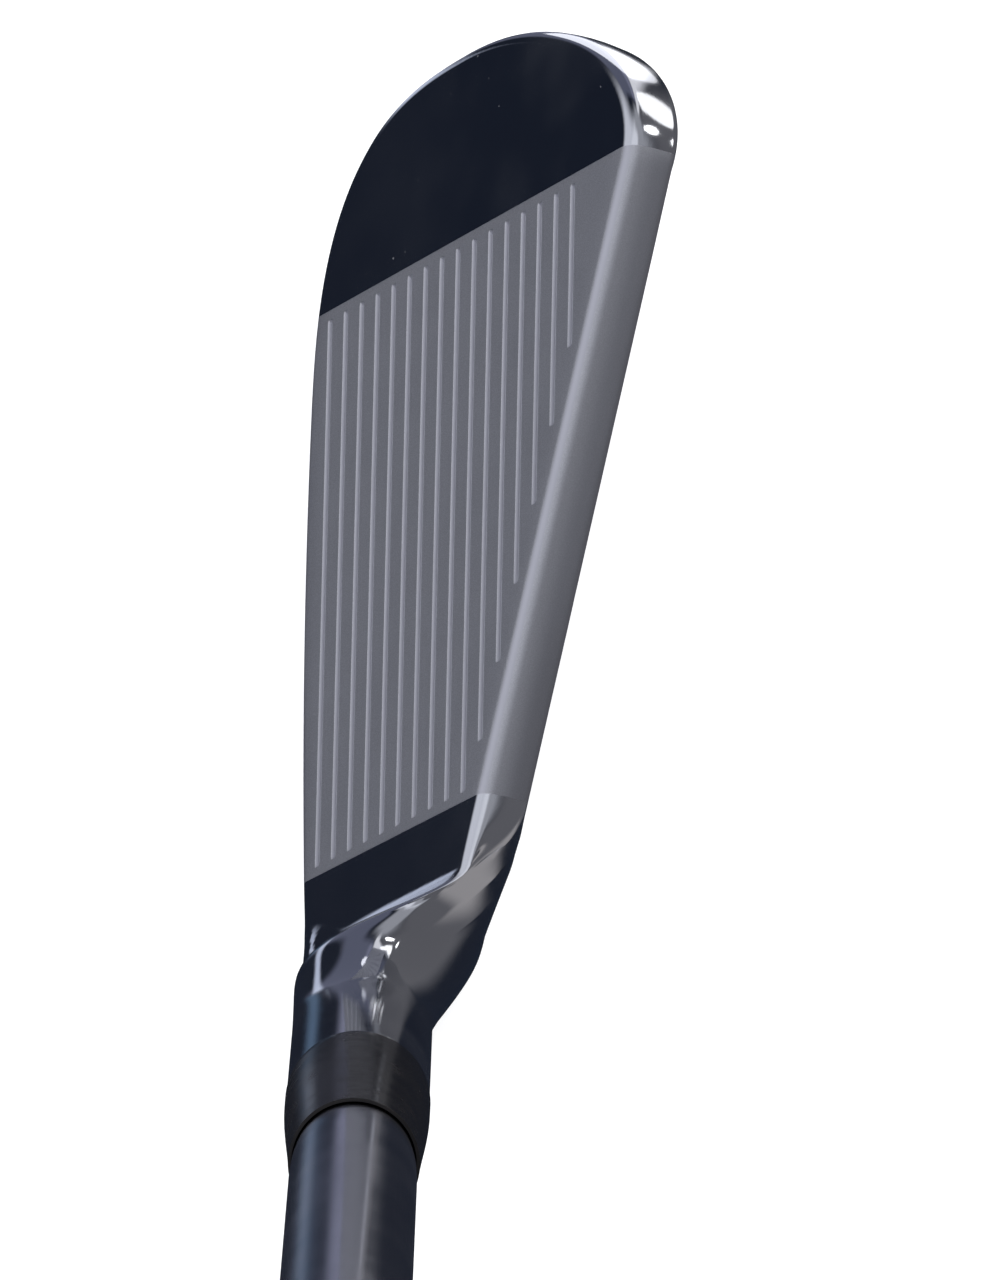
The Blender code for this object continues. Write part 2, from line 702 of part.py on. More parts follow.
outer = [(TIP_R - 0.35, SHAFT_TIP), (TIP_R, SHAFT_TIP + 0.6),
         (TIP_R, HOSEL_TOP + 0.6), (COLLAR_R, FERRULE_TOP),
         (LOWER_R, LOWER_AT)]
for k in range(STEPS):
    t = FIRST_STEP + STEP_RUN * k
    outer.append((shaft_radius(k), t))
    outer.append((shaft_radius(k + 1), t + STEP_SLOPE))
outer += [(BUTT_R, SHAFT_END - 0.3), (BUTT_R - 0.3, SHAFT_END)]
inner = [(BUTT_R - WALL_BUTT, SHAFT_END),
         (BUTT_R - WALL_BUTT, FIRST_STEP + STEP_RUN * STEPS),
         (LOWER_R - WALL_TIP, FIRST_STEP), (LOWER_R - WALL_TIP, LOWER_AT),
         (TIP_R - WALL_TIP, HOSEL_TOP + 0.6), (TIP_R - WALL_TIP, SHAFT_TIP)]
turned("shaft", outer[::-1] + inner[::-1], shaft_steel)

turned("ferrule", [(FERRULE_TOP_R - 0.12, FERRULE_TOP),
                   (FERRULE_TOP_R, FERRULE_TOP - 0.3),
                   (FERRULE_R - 0.25, FERRULE_BOTTOM + 20.0),
                   (FERRULE_R - 0.05, FERRULE_BOTTOM + 9.0),
                   (FERRULE_R, FERRULE_BOTTOM + 1.0),
                   (FERRULE_R - 0.25, FERRULE_BOTTOM),
                   (TIP_R + FERRULE_GAP, FERRULE_BOTTOM),
                   (TIP_R + FERRULE_GAP, HOSEL_TOP + 0.6),
                   (COLLAR_R + FERRULE_GAP, FERRULE_TOP)], black_plastic)

pin_r = TIP_R - WALL_TIP - 0.3
turned("tip_weight", [(0.0, SHAFT_TIP + 19.0),
                      (pin_r - 0.6, SHAFT_TIP + 19.0),
                      (pin_r, SHAFT_TIP + 18.0),
                      (pin_r, SHAFT_TIP + 0.2),
                      (0.0, SHAFT_TIP + 0.2)], brass, closed=False, segs=20)

turned("shaft_band", [(BUTT_R + 0.40, BAND_TOP), (BUTT_R + 0.40, BAND_BOTTOM),
                      (BUTT_R + 0.15, BAND_BOTTOM), (BUTT_R + 0.15, BAND_TOP)],
       foil)

turned("grip_tape", [(TAPE_OUT, SHAFT_END - 3.0), (TAPE_OUT, GRIP_MOUTH + 4),
                     (TAPE_IN, GRIP_MOUTH + 4), (TAPE_IN, SHAFT_END - 3.0)],
       tape)

GRIP_ROWS = 12
sleeve = []
for k in range(GRIP_ROWS + 1):
    f = k / GRIP_ROWS
    r = GRIP_MOUTH_R + (GRIP_BUTT_R - GRIP_MOUTH_R) * (
        0.55 * f + 0.45 * f ** 2.2)
    sleeve.append((r, GRIP_MOUTH + 2.0 + (GRIP_END - 4.0 - GRIP_MOUTH) * f))
profile = [(GRIP_MOUTH_R - 0.5, GRIP_MOUTH)] + sleeve
turned("grip_sleeve", profile[::-1] + [(GRIP_IN, GRIP_MOUTH),
                                       (GRIP_IN, sleeve[-1][1])], rubber)

cap_in = sleeve[-1][1] + 0.3
turned("grip_cap", [(VENT_R, CAP_END), (GRIP_BUTT_R - 2.6, CAP_END),
                    (GRIP_BUTT_R - 0.6, CAP_END - 0.9),
                    (GRIP_BUTT_R + 0.35, CAP_END - 2.2),
                    (GRIP_BUTT_R + 0.35, cap_in + 0.5),
                    (GRIP_BUTT_R - 0.05, cap_in),
                    (GRIP_IN - 0.3, cap_in),
                    (GRIP_IN - 0.3, SHAFT_END + 0.35),
                    (VENT_R, SHAFT_END + 0.35)], cap_rubber)
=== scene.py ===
import math

import bmesh
import bpy
import numpy as np
from mathutils import Matrix, Vector, noise


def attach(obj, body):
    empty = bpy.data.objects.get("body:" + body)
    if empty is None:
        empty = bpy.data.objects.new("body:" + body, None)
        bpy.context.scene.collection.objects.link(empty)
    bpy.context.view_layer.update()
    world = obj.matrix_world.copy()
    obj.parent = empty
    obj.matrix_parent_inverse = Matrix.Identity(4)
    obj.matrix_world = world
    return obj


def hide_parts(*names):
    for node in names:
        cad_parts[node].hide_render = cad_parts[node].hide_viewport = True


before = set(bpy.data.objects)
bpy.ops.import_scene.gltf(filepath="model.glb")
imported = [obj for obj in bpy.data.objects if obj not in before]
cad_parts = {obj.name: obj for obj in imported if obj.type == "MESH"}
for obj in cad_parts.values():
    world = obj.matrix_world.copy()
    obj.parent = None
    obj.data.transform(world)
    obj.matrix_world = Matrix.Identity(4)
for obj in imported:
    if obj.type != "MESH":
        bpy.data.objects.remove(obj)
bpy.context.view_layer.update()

MM = 0.001

# ---------------------------------------------------------------- head sizes
LOFT = math.radians(31.0)          # face against the vertical
LIE = math.radians(62.6)           # shaft axis against the ground
FACE_CENTRE = (3.5, 0.0, 24.16)     # middle of the score lines on the face
AXIS_X = -3.0                      # shaft axis, x (constant, no lean)
AXIS_Y0 = -37.17                   # shaft axis, y where it meets the ground

BLADE_HEEL = -28.5                 # the blade ends here and the neck begins
TOE_PIVOT = 20.0                   # the round toe starts here
TOE_REACH = 26.5                   # toe pivot to toe tip
TOE_DROP = 24.9                    # toe pivot to leading edge
TOE_POWER = 2.85                   # squareness of the lower toe
EDGE_CAMBER = 0.0011               # curve of the leading edge along the blade
EDGE_CAMBER_Y = 2.0
TOP_PEAK = (30.9, 26.4)            # top line at the toe, (up the face, y)
TOP_SLOPE = 0.425                  # rise of the top line per mm of y
TOE_TIP_PULL = 17.0                # handle lengths of the upper toe curve
PEAK_PULL = 9.5

GROOVES = 16
GROOVE_PITCH = 2.89
GROOVE_WIDTH = 0.85
GROOVE_FLOOR = 0.45
GROOVE_DEPTH = 0.42
GROOVE_REACH = 27.1                # half length of a full score line
GROOVE_TOP_GAP = 4.3               # a short score line stops this far in y
                                   # from the top line

HOSEL_R = 6.4
HOSEL_TOP = 62.0                   # along the axis from the ground
HOSEL_CHAMFER = 0.12
BORE_R = 4.95
BORE_BOTTOM = 32.3
HEEL_RADIUS = 15.0                 # outer curve of the heel
CROTCH_RADIUS = 12.0               # inner curve between top line and hosel
NECK_SPAN = 0.72                   # share of the neck that is still changing
NECK_LAG = 0.12                    # the back rounds off later than the front
FOLD_Y = -34.3                     # the flat face ends here at the hosel
FOLD_LOW = -16.0                   # below this height it ends earlier
FOLD_SPAN = 7.0
FOLD_SPAN_LOW = 3.2
FOLD_DEPTH = 5.0
REAR_WAIT = 0.06                   # the back keeps its section for a while
HEEL_BOX = 0.02                    # how square the heel is in front
FOLD_EARLY = 2.0
FAIR = (16, 2.0)                   # passes along the neck, mm round it

# --------------------------------------------------------- shaft and its kit
TIP_R = 4.7                        # 9.4 mm parallel tip inside the hosel
COLLAR_R = 5.3                     # where the shaft leaves the ferrule
LOWER_R = 5.6                      # lower run of the shaft
LOWER_AT = 104.0
BUTT_R = 7.62                      # 15.24 mm butt
SHAFT_TIP = 32.9
SHAFT_END = 934.0
FIRST_STEP = 262.0
STEPS = 11
STEP_RUN = 33.0
STEP_SLOPE = 1.2
WALL_TIP = 0.75
WALL_BUTT = 0.4

FERRULE_BOTTOM = HOSEL_TOP + 0.3
FERRULE_TOP = 94.3
FERRULE_R = 6.5
FERRULE_TOP_R = 5.8
FERRULE_GAP = 0.2

BAND_BOTTOM, BAND_TOP = 641.0, 666.0

GRIP_MOUTH = 673.0
GRIP_END = 937.5
CAP_END = 940.0
GRIP_MOUTH_R = 9.6
GRIP_BUTT_R = 13.1
TAPE_IN, TAPE_OUT = BUTT_R + 0.2, BUTT_R + 0.6
GRIP_IN = BUTT_R + 0.8
VENT_R = 2.0

ROUND = 32                         # facets round the turned pieces

# --------------------------------------------------------- head coordinates
UP = (math.sin(LOFT), math.cos(LOFT))       # up the face, in (x, z)
IN = (math.cos(LOFT), -math.sin(LOFT))      # into the head, in (x, z)


def from_face(h, y, t):
    """A point h up the face, y along it and t behind it."""
    return (FACE_CENTRE[0] + h * UP[0] + t * IN[0], y,
            FACE_CENTRE[2] + h * UP[1] + t * IN[1])


def mix(a, b, f):
    return tuple(p + (q - p) * f for p, q in zip(a, b))


def ease(f):
    f = min(1.0, max(0.0, f))
    return f * f * (3.0 - 2.0 * f)


def lower_edge(y):
    """Leading edge, measured up the face, for the straight blade."""
    return -TOE_DROP + EDGE_CAMBER * (y - EDGE_CAMBER_Y) ** 2


def top_edge(y):
    return TOP_PEAK[0] + TOP_SLOPE * (y - TOP_PEAK[1])


def toe_low(f):
    """Lower toe, f from 0 at the pivot station to 1 at the toe tip."""
    a = f * math.pi / 2
    c, s = math.cos(a), math.sin(a)
    y = TOE_PIVOT + TOE_REACH * s ** (2 / TOE_POWER)
    h = -TOE_DROP * max(c, 0.0) ** (2 / TOE_POWER)
    return h + EDGE_CAMBER * (y - EDGE_CAMBER_Y) ** 2, y


def toe_high(f):
    """Upper toe from the toe tip (0) to the peak (1), one cubic curve."""
    tip = toe_low(1.0)
    slope = math.hypot(TOP_SLOPE, 1.0)
    ahead = (TOP_SLOPE / slope, 1.0 / slope)
    p = [tip, (tip[0] + TOE_TIP_PULL, tip[1]),
         (TOP_PEAK[0] + PEAK_PULL * ahead[0],
          TOP_PEAK[1] + PEAK_PULL * ahead[1]), TOP_PEAK]
    g = 1.0 - f
    w = (g ** 3, 3 * g * g * f, 3 * g * f * f, f ** 3)
    return (sum(a * q[0] for a, q in zip(w, p)),
            sum(a * q[1] for a, q in zip(w, p)))


# Section of the blade wall, one row for each place round the outline.  Each
# pair is (distance in from the outline, depth behind the face): middle of the
# wall, back edge, inner edge of the back rim, edge of the cavity floor.  Then
# the outline's extra drop, the front, wall, back and rim radii, and the floor
# radius.
WALL = {
    "sole_heel": ((3.2, 7.4), (10.8, 14.6), (13.9, 12.9), (16.3, 11.8),
                  2.1, 1.6, 24.0, 2.6, 2.0, 2.0),
    "sole":      ((3.7, 9.0), (13.2, 18.4), (20.0, 13.8), (21.4, 3.0),
                  2.1, 1.6, 28.0, 2.0, 1.2, 1.4),
    "toe_low":   ((1.6, 6.4), (6.4, 13.6), (13.2, 11.6), (14.4, 3.0),
                  0.9, 1.4, 24.0, 1.8, 1.1, 1.4),
    "toe":       ((-0.3, 3.6), (0.4, 8.2), (6.2, 8.0), (7.4, 3.0),
                  0.0, 1.2, 20.0, 1.4, 0.8, 1.2),
    "top":       ((-0.2, 2.7), (0.1, 5.4), (4.6, 5.4), (5.6, 3.0),
                  0.0, 2.5, 20.0, 1.2, 0.7, 1.0),
    "top_heel":  ((-0.2, 2.8), (0.3, 5.1), (4.4, 7.2), (8.0, 8.8),
                  0.0, 1.9, 20.0, 1.5, 2.0, 2.0),
}
CAVITY_CLOSE = (-19.0, -8.0)       # the cavity fades out between these y
SLIM_FROM = 2.0                    # the sole narrows from here to the heel


def wall_mix(a, b, f):
    wa, wb = WALL[a], WALL[b]
    out = []
    for p, q in zip(wa, wb):
        out.append(mix(p, q, f) if isinstance(p, tuple) else p + (q - p) * f)
    return out


def fillet(points, radii, steps):
    """Round the inner corners of a run of points, steps[i] facets each."""
    out = []
    for i in range(1, len(points) - 1):
        p, c, q = (Vector(points[j]) for j in (i - 1, i, i + 1))
        a, b = p - c, q - c
        la, lb = a.length, b.length
        a.normalize()
        b.normalize()
        half = a.angle(b) / 2
        n = steps[i - 1]
        cut = radii[i - 1] / math.tan(half) if half < math.pi / 2 - 1e-4 else 0
        cut = min(cut, 0.46 * la, 0.46 * lb)
        r = cut * math.tan(half)
        start, end = c + a * cut, c + b * cut
        if cut < 1e-6:
            out += [tuple(start)] * (n + 1)
            continue
        mid = c + (a + b).normalized() * (r / math.sin(half))
        v0, v1 = start - mid, end - mid
        sweep = math.atan2(v0.x * v1.y - v0.y * v1.x, v0.dot(v1))
        for k in range(n + 1):
            s = sweep * k / n
            ca, sa = math.cos(s), math.sin(s)
            out.append((mid.x + v0.x * ca - v0.y * sa,
                        mid.y + v0.x * sa + v0.y * ca))
    return out


FLAT = 14                           # spans from the spine to the wall


def column(outline, inward, spine, spine_depth, wall, steps):
    """Half section from the face spine over the wall to the back spine."""
    mid, back, rim, floor, drop, rf, rw, rb, rr, rfl = wall
    oh, oy = outline[0] - inward[0] * drop, outline[1] - inward[1] * drop
    reach = (spine[0] - oh) * inward[0] + (spine[1] - oy) * inward[1]
    run = [(reach, 0.0), (0.0, 0.0), mid, back, rim, floor,
           (reach, spine_depth)]
    pts = fillet(run, (rf, rw, rb, rr, rfl), steps)
    pts = [Vector(from_face(oh + inward[0] * d, oy + inward[1] * d, t))
           for d, t in pts]
    a = Vector(from_face(spine[0], spine[1], 0.0))
    b = Vector(from_face(spine[0], spine[1], spine_depth))
    return [tuple(p) for p in
            [a.lerp(pts[0], k / FLAT) for k in range(1, FLAT)] + pts +
            [pts[-1].lerp(b, k / FLAT) for k in range(1, FLAT)]]


def spine_height(y):
    f = (y - BLADE_HEEL) / (TOE_PIVOT - BLADE_HEEL)
    return -8.4 + f * 9.7


def blade(stations, fan, steps):
    """Columns round the blade, from the heel sole by the toe to the top."""
    ys = [BLADE_HEEL + (TOE_PIVOT - BLADE_HEEL) * i / stations
          for i in range(stations + 1)]
    heel_back = 11.4

    def depth(y):
        return heel_back + (3.0 - heel_back) * ease(
            (y - CAVITY_CLOSE[0]) / (CAVITY_CLOSE[1] - CAVITY_CLOSE[0]))

    def close(y):
        return 1.0 - ease((y - CAVITY_CLOSE[0]) /
                          (CAVITY_CLOSE[1] - CAVITY_CLOSE[0]))

    cols = []
    for y in ys:
        wall = wall_mix("sole", "sole_heel", close(y))
        slim = wall_mix("sole", "sole_heel",
                        ease((y - SLIM_FROM) / (BLADE_HEEL - SLIM_FROM)))
        wall[0:2] = slim[0:2]
        cols.append(column((lower_edge(y), y), (1.0, 0.0),
                           (spine_height(y), y), depth(y), wall, steps))
    pivot = (spine_height(TOE_PIVOT), TOE_PIVOT)
    top_y = [TOE_PIVOT + (TOP_PEAK[1] - TOE_PIVOT) * i / 3 for i in (2, 1)]
    places = [("low", (k + 1) / fan) for k in range(fan)]
    places += [("high", (k + 1) / fan) for k in range(fan)]
    places += [("line", y) for y in top_y]
    for kind, f in places:
        if kind == "low":
            p = toe_low(f)
            n = Vector(toe_low(min(1.0, f + 0.002))) - Vector(
                toe_low(f - 0.002))
            name = ("sole", "toe_low", min(1.0, f / 0.55)) if f < 0.55 else (
                "toe_low", "toe", ease((f - 0.55) / 0.45))
            turn = ease(f / 0.3)
        elif kind == "high":
            p = toe_high(f)
            n = Vector(toe_high(min(1.0, f + 0.002))) - Vector(
                toe_high(max(0.0, f - 0.002)))
            name = ("toe", "top", f)
            turn = 1.0
        else:
            p = (top_edge(f), f)
            n = Vector((-TOP_SLOPE, -1.0))
            name = ("top", "top", 0.0)
            turn = (f - TOE_PIVOT) / (TOP_PEAK[1] - TOE_PIVOT)
        n.normalize()
        inward = Vector((n.y, -n.x)) if kind == "low" else Vector(
            (n.y, -n.x))
        if inward.dot(Vector(pivot) - Vector(p)) < 0:
            inward = -inward
        upright = Vector((1.0 if kind == "low" else -1.0, 0.0))
        inward = (upright * (1 - turn) + inward * turn).normalized()
        cols.append(column(p, tuple(inward), pivot, 3.0, wall_mix(*name),
                           steps))
    for y in reversed(ys):
        wall = wall_mix("top", "top_heel", close(y))
        cols.append(column((top_edge(y), y), (-1.0, 0.0),
                           (spine_height(y), y), depth(y), wall, steps))
    front = [from_face(spine_height(y), y, 0.0) for y in ys]
    rear = [from_face(spine_height(y), y, depth(y)) for y in ys]
    return cols, front, rear


def path(corners, radius, counts):
    """Points along start - arc - end in the (y, z) plane."""
    a, c, b = (Vector(p) for p in corners)
    u, v = (a - c).normalized(), (b - c).normalized()
    half = u.angle(v) / 2
    cut = radius / math.tan(half)
    start, end = c + u * cut, c + v * cut
    out = [a.lerp(start, i / counts[0]) for i in range(1, counts[0] + 1)]
    mid = c + (u + v).normalized() * (radius / math.sin(half))
    v0, v1 = start - mid, end - mid
    sweep = math.atan2(v0.x * v1.y - v0.y * v1.x, v0.dot(v1))
    for k in range(1, counts[1] + 1):
        out.append(mid + Matrix.Rotation(sweep * k / counts[1], 2) @ v0)
    out += [end.lerp(b, i / counts[2]) for i in range(1, counts[2] + 1)]
    return out


def meet(p, d, q, e):
    """Crossing of two lines in the plane."""
    det = d[0] * e[1] - d[1] * e[0]
    s = ((q[0] - p[0]) * e[1] - (q[1] - p[1]) * e[0]) / det
    return (p[0] + d[0] * s, p[1] + d[1] * s)


def fair_ring(ring, sigma, m=240):
    """Round a closed ring over about sigma mm without shrinking it."""
    closed = np.vstack([ring, ring[:1]])
    s = np.concatenate([[0.0], np.cumsum(np.linalg.norm(
        np.diff(closed, axis=0), axis=1))])
    u = np.arange(m) * s[-1] / m
    pts = np.stack([np.interp(u, s, closed[:, c]) for c in range(3)], 1)
    f = np.fft.fftfreq(m, s[-1] / m)
    keep = np.exp(-2.0 * (math.pi * f * sigma) ** 2)
    keep = keep * (2.0 - keep)
    pts = np.fft.ifft(np.fft.fft(pts, axis=0) * keep[:, None], axis=0).real
    pts = np.vstack([pts, pts[:1]])
    u = np.append(u, s[-1])
    return np.stack([np.interp(s[:-1], u, pts[:, c]) for c in range(3)], 1)


def head_mesh(stations, fan, steps, neck, ring_rows):
    cols, front, rear = blade(stations, fan, steps)
    rows = len(cols[0])
    verts, faces = [], []

    def add(p):
        verts.append(p)
        return len(verts) - 1

    col_i = [[add(p) for p in c] for c in cols]
    front_i = [add(p) for p in front]
    rear_i = [add(p) for p in rear]
    last = len(cols) - 1
    for c in range(last):
        a, b = col_i[c], col_i[c + 1]
        for m in range(rows - 1):
            faces.append((a[m], b[m], b[m + 1], a[m + 1]))
        if c < stations:
            fa, fb, ra, rb = (front_i[c], front_i[c + 1],
                              rear_i[c], rear_i[c + 1])
        elif c >= last - stations:
            k = last - c
            fa, fb, ra, rb = (front_i[k], front_i[k - 1],
                              rear_i[k], rear_i[k - 1])
        else:
            fa = fb = front_i[stations]
            ra = rb = rear_i[stations]
        faces.append((fa, fb, b[0], a[0]) if fa != fb else (fa, b[0], a[0]))
        faces.append((rb, ra, a[-1], b[-1]) if ra != rb else
                     (ra, a[-1], b[-1]))

    # Neck: the closed blade section turns into the round hosel.
    loop = ([front_i[0]] + col_i[0] + [rear_i[0]] + col_i[last][::-1])
    sec = [verts[i] for i in loop]
    n = len(sec)
    zs = [p[2] for p in sec]
    lo, hi = zs.index(min(zs)), zs.index(max(zs))
    zb, zt = zs[lo], zs[hi]
    order = [(lo + i) % n for i in range(n)]
    run = [0.0]
    for i in range(n):
        p, q = sec[order[i]], sec[order[(i + 1) % n]]
        run.append(run[-1] + math.hypot(p[0] - q[0], p[2] - q[2]))
    k_hi = order.index(hi)
    turn = [0.0] * n
    for k in range(n):
        if k <= k_hi:
            turn[order[k]] = math.pi * run[k] / run[k_hi]
        else:
            turn[order[k]] = math.pi * (1 + (run[k] - run[k_hi]) /
                                        (run[n] - run[k_hi]))
    even = [0.0] * n
    for k in range(n):
        even[order[k]] = 2 * math.pi * k / n
    # walking from the bottom up the back (or the face) to the top
    side = 1.0 if sec[order[k_hi // 2]][0] > sec[order[
        (k_hi + n) // 2 % n]][0] else -1.0
    axis = (-math.cos(LIE), math.sin(LIE))
    across = (math.sin(LIE), math.cos(LIE))
    foot = (AXIS_Y0, 0.0)

    def on_axis(t, off):
        return (foot[0] + axis[0] * t + across[0] * off,
                foot[1] + axis[1] * t + across[1] * off)

    e = 0.2
    lower_dir = (-1.0, (min(p[2] for p in cols[0]) -
                        min(p[2] for p in cols[1])) /
                 (cols[1][0][1] - cols[0][0][1]) + 0.03)
    upper_dir = (-1.0, -TOP_SLOPE * UP[1])
    start_b, start_t = (BLADE_HEEL, zb), (BLADE_HEEL, zt)
    end_b, end_t = on_axis(HOSEL_TOP - e, -HOSEL_R), on_axis(
        HOSEL_TOP - e, HOSEL_R)
    corner_b = meet(start_b, lower_dir, end_b, axis)
    corner_t = meet(start_t, upper_dir, end_t, axis)
    low = path((start_b, corner_b, end_b), HEEL_RADIUS, neck)
    top = path((start_t, corner_t, end_t), CROTCH_RADIUS, neck)
    slope = math.tan(LOFT)
    rings = []
    total = neck[0] + neck[1]
    deep = [(p[0] - FACE_CENTRE[0]) * IN[0] + (p[2] - FACE_CENTRE[2]) * IN[1]
            for p in sec]
    up = [(p[0] - FACE_CENTRE[0]) * UP[0] + (p[2] - FACE_CENTRE[2]) * UP[1]
          for p in sec]
    flat = np.array([1.0 - ease((v - 0.2) / FOLD_DEPTH) for v in deep])
    loft = [[list(p) for p in sec]]
    plane = [list(flat)]
    for k, (b, t) in enumerate(zip(low, top), 1):
        ring, kept = [], []
        g = ease(k / total)
        for i in range(n):
            a = turn[i] + (even[i] - turn[i]) * g
            rear_side = side * math.sin(a)
            lag = max(0.0, rear_side)
            w = ease((k / total - REAR_WAIT * lag) / (
                NECK_SPAN + NECK_LAG * rear_side - REAR_WAIT * lag))
            # the front of the heel stays full where it meets the sole
            boxy = 1.0
            if rear_side < 0 and math.cos(a) > 0:
                boxy = HEEL_BOX + (1.0 - HEEL_BOX) * ease(k / total / 0.95)
            q0 = (sec[i][2] - zb) / (zt - zb)
            y0 = b.x + (t.x - b.x) * q0
            z = b.y + (t.y - b.y) * q0
            # the flat face runs on to the fold, then turns up the hosel
            low_end = ease((FOLD_LOW - up[i]) / 7.0)
            late = ease((FOLD_Y + FOLD_EARLY * low_end - y0) / (
                FOLD_SPAN + (FOLD_SPAN_LOW - FOLD_SPAN) * low_end))
            f = 1.0 - ease((deep[i] - 0.2) / FOLD_DEPTH)
            w += (late - w) * f
            kept.append(f * (1.0 - late))
            x0 = sec[i][0] + slope * (z - sec[i][2])
            q1 = 0.5 - 0.5 * math.cos(a)
            x1 = AXIS_X + math.copysign(
                HOSEL_R * abs(math.sin(a)) ** boxy, side * math.sin(a))
            q = q0 + (q1 - q0) * w
            x = x0 + (x1 - x0) * w
            ring.append((x, b.x + (t.x - b.x) * q, b.y + (t.y - b.y) * q))
        loft.append(ring)
        plane.append(kept)
    # fair the rings along the neck, then round them
    g = np.array(loft)
    k = np.arange(len(loft))
    plane = np.array(plane)
    for _ in range(4):
        plane = (plane + np.roll(plane, 1, 1) + np.roll(plane, -1, 1)) / 3.0
        plane[1:-1] = (plane[:-2] + plane[1:-1] + plane[2:]) / 3.0
    hold = np.minimum(1.0, np.minimum(k / 4.0, (len(loft) - 1 - k) / 4.0))
    rate = hold[:, None] * (1.0 - 0.9 * plane)
    for _ in range(FAIR[0]):
        g[1:-1] += (0.5 * rate[1:-1])[..., None] * (
            0.5 * (g[:-2] + g[2:]) - g[1:-1])
    rate = np.clip((k - 1.0) / 14.0, 0.0, 1.0) * np.clip(
        (0.92 * total - k) / 12.0, 0.0, 1.0)
    for j in range(1, len(g)):
        if rate[j] > 0.0:
            soft = fair_ring(g[j], FAIR[1])
            g[j] += (rate[j] * (1.0 - 0.96 * plane[j]))[:, None] * (
                soft - g[j])
    rate = np.clip((k - 8.0) / 8.0, 0.0, 1.0) * np.clip(
        (len(loft) - 1 - k) / 4.0, 0.0, 1.0)
    rate = (rate[:, None] * (1.0 - 0.95 * plane))[..., None]
    # take out small waves without pulling the surface in
    for push in (0.5, -0.53) * 60:
        near = 0.25 * (np.roll(g, 1, 1) + np.roll(g, -1, 1))
        near[1:-1] += 0.25 * (g[:-2] + g[2:])
        g[1:-1] += push * rate[1:-1] * (near[1:-1] - g[1:-1])
    rings = [[add(tuple(p)) for p in row] for row in g[1:]]

    def round_ring(t, r):
        c = on_axis(t, 0.0)
        out = []
        for i in range(n):
            off = -r * math.cos(even[i])
            out.append(add((AXIS_X + side * r * math.sin(even[i]),
                            c[0] + across[0] * off, c[1] + across[1] * off)))
        return out

    rings.append(round_ring(HOSEL_TOP, HOSEL_R - HOSEL_CHAMFER))
    rings.append(round_ring(HOSEL_TOP, BORE_R + 0.45))
    rings.append(round_ring(HOSEL_TOP - 0.5, BORE_R))
    for k in range(1, ring_rows + 1):
        rings.append(round_ring(HOSEL_TOP - 0.5 + (BORE_BOTTOM - HOSEL_TOP +
                                                   0.5) * k / ring_rows,
                                BORE_R))
    rings = [loop] + rings
    for a, b in zip(rings, rings[1:]):
        for i in range(n):
            j = (i + 1) % n
            faces.append((a[i], a[j], b[j], b[i]))
    c = on_axis(BORE_BOTTOM - 1.5, 0.0)
    tip = add((AXIS_X, c[0], c[1]))
    for i in range(n):
        faces.append((rings[-1][i], rings[-1][(i + 1) % n], tip))
    return verts, faces



# ------------------------------------------------------------ small helpers
def finish_mesh(name, verts, faces, sharp=35.0, merge=2e-7):
    me = bpy.data.meshes.new(name)
    me.from_pydata([tuple(c * MM for c in v) for v in verts], [], faces)
    bm = bmesh.new()
    bm.from_mesh(me)
    bmesh.ops.remove_doubles(bm, verts=bm.verts, dist=merge)
    bmesh.ops.recalc_face_normals(bm, faces=bm.faces)
    bm.to_mesh(me)
    bm.free()
    me.shade_smooth()
    me.set_sharp_from_angle(angle=math.radians(sharp))
    return me


def put(name, mesh, mat, *replaced, slot=None):
    ob = bpy.data.objects.new(name, mesh)
    bpy.context.scene.collection.objects.link(ob)
    if mat is not None:
        ob.data.materials.clear()
        ob.data.materials.append(mat)
    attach(ob, "root")
    if replaced:
        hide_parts(*replaced)
    return ob


def apply_modifiers(ob):
    dg = bpy.context.evaluated_depsgraph_get()
    me = bpy.data.meshes.new_from_object(ob.evaluated_get(dg))
    ob.modifiers.clear()
    ob.data = me


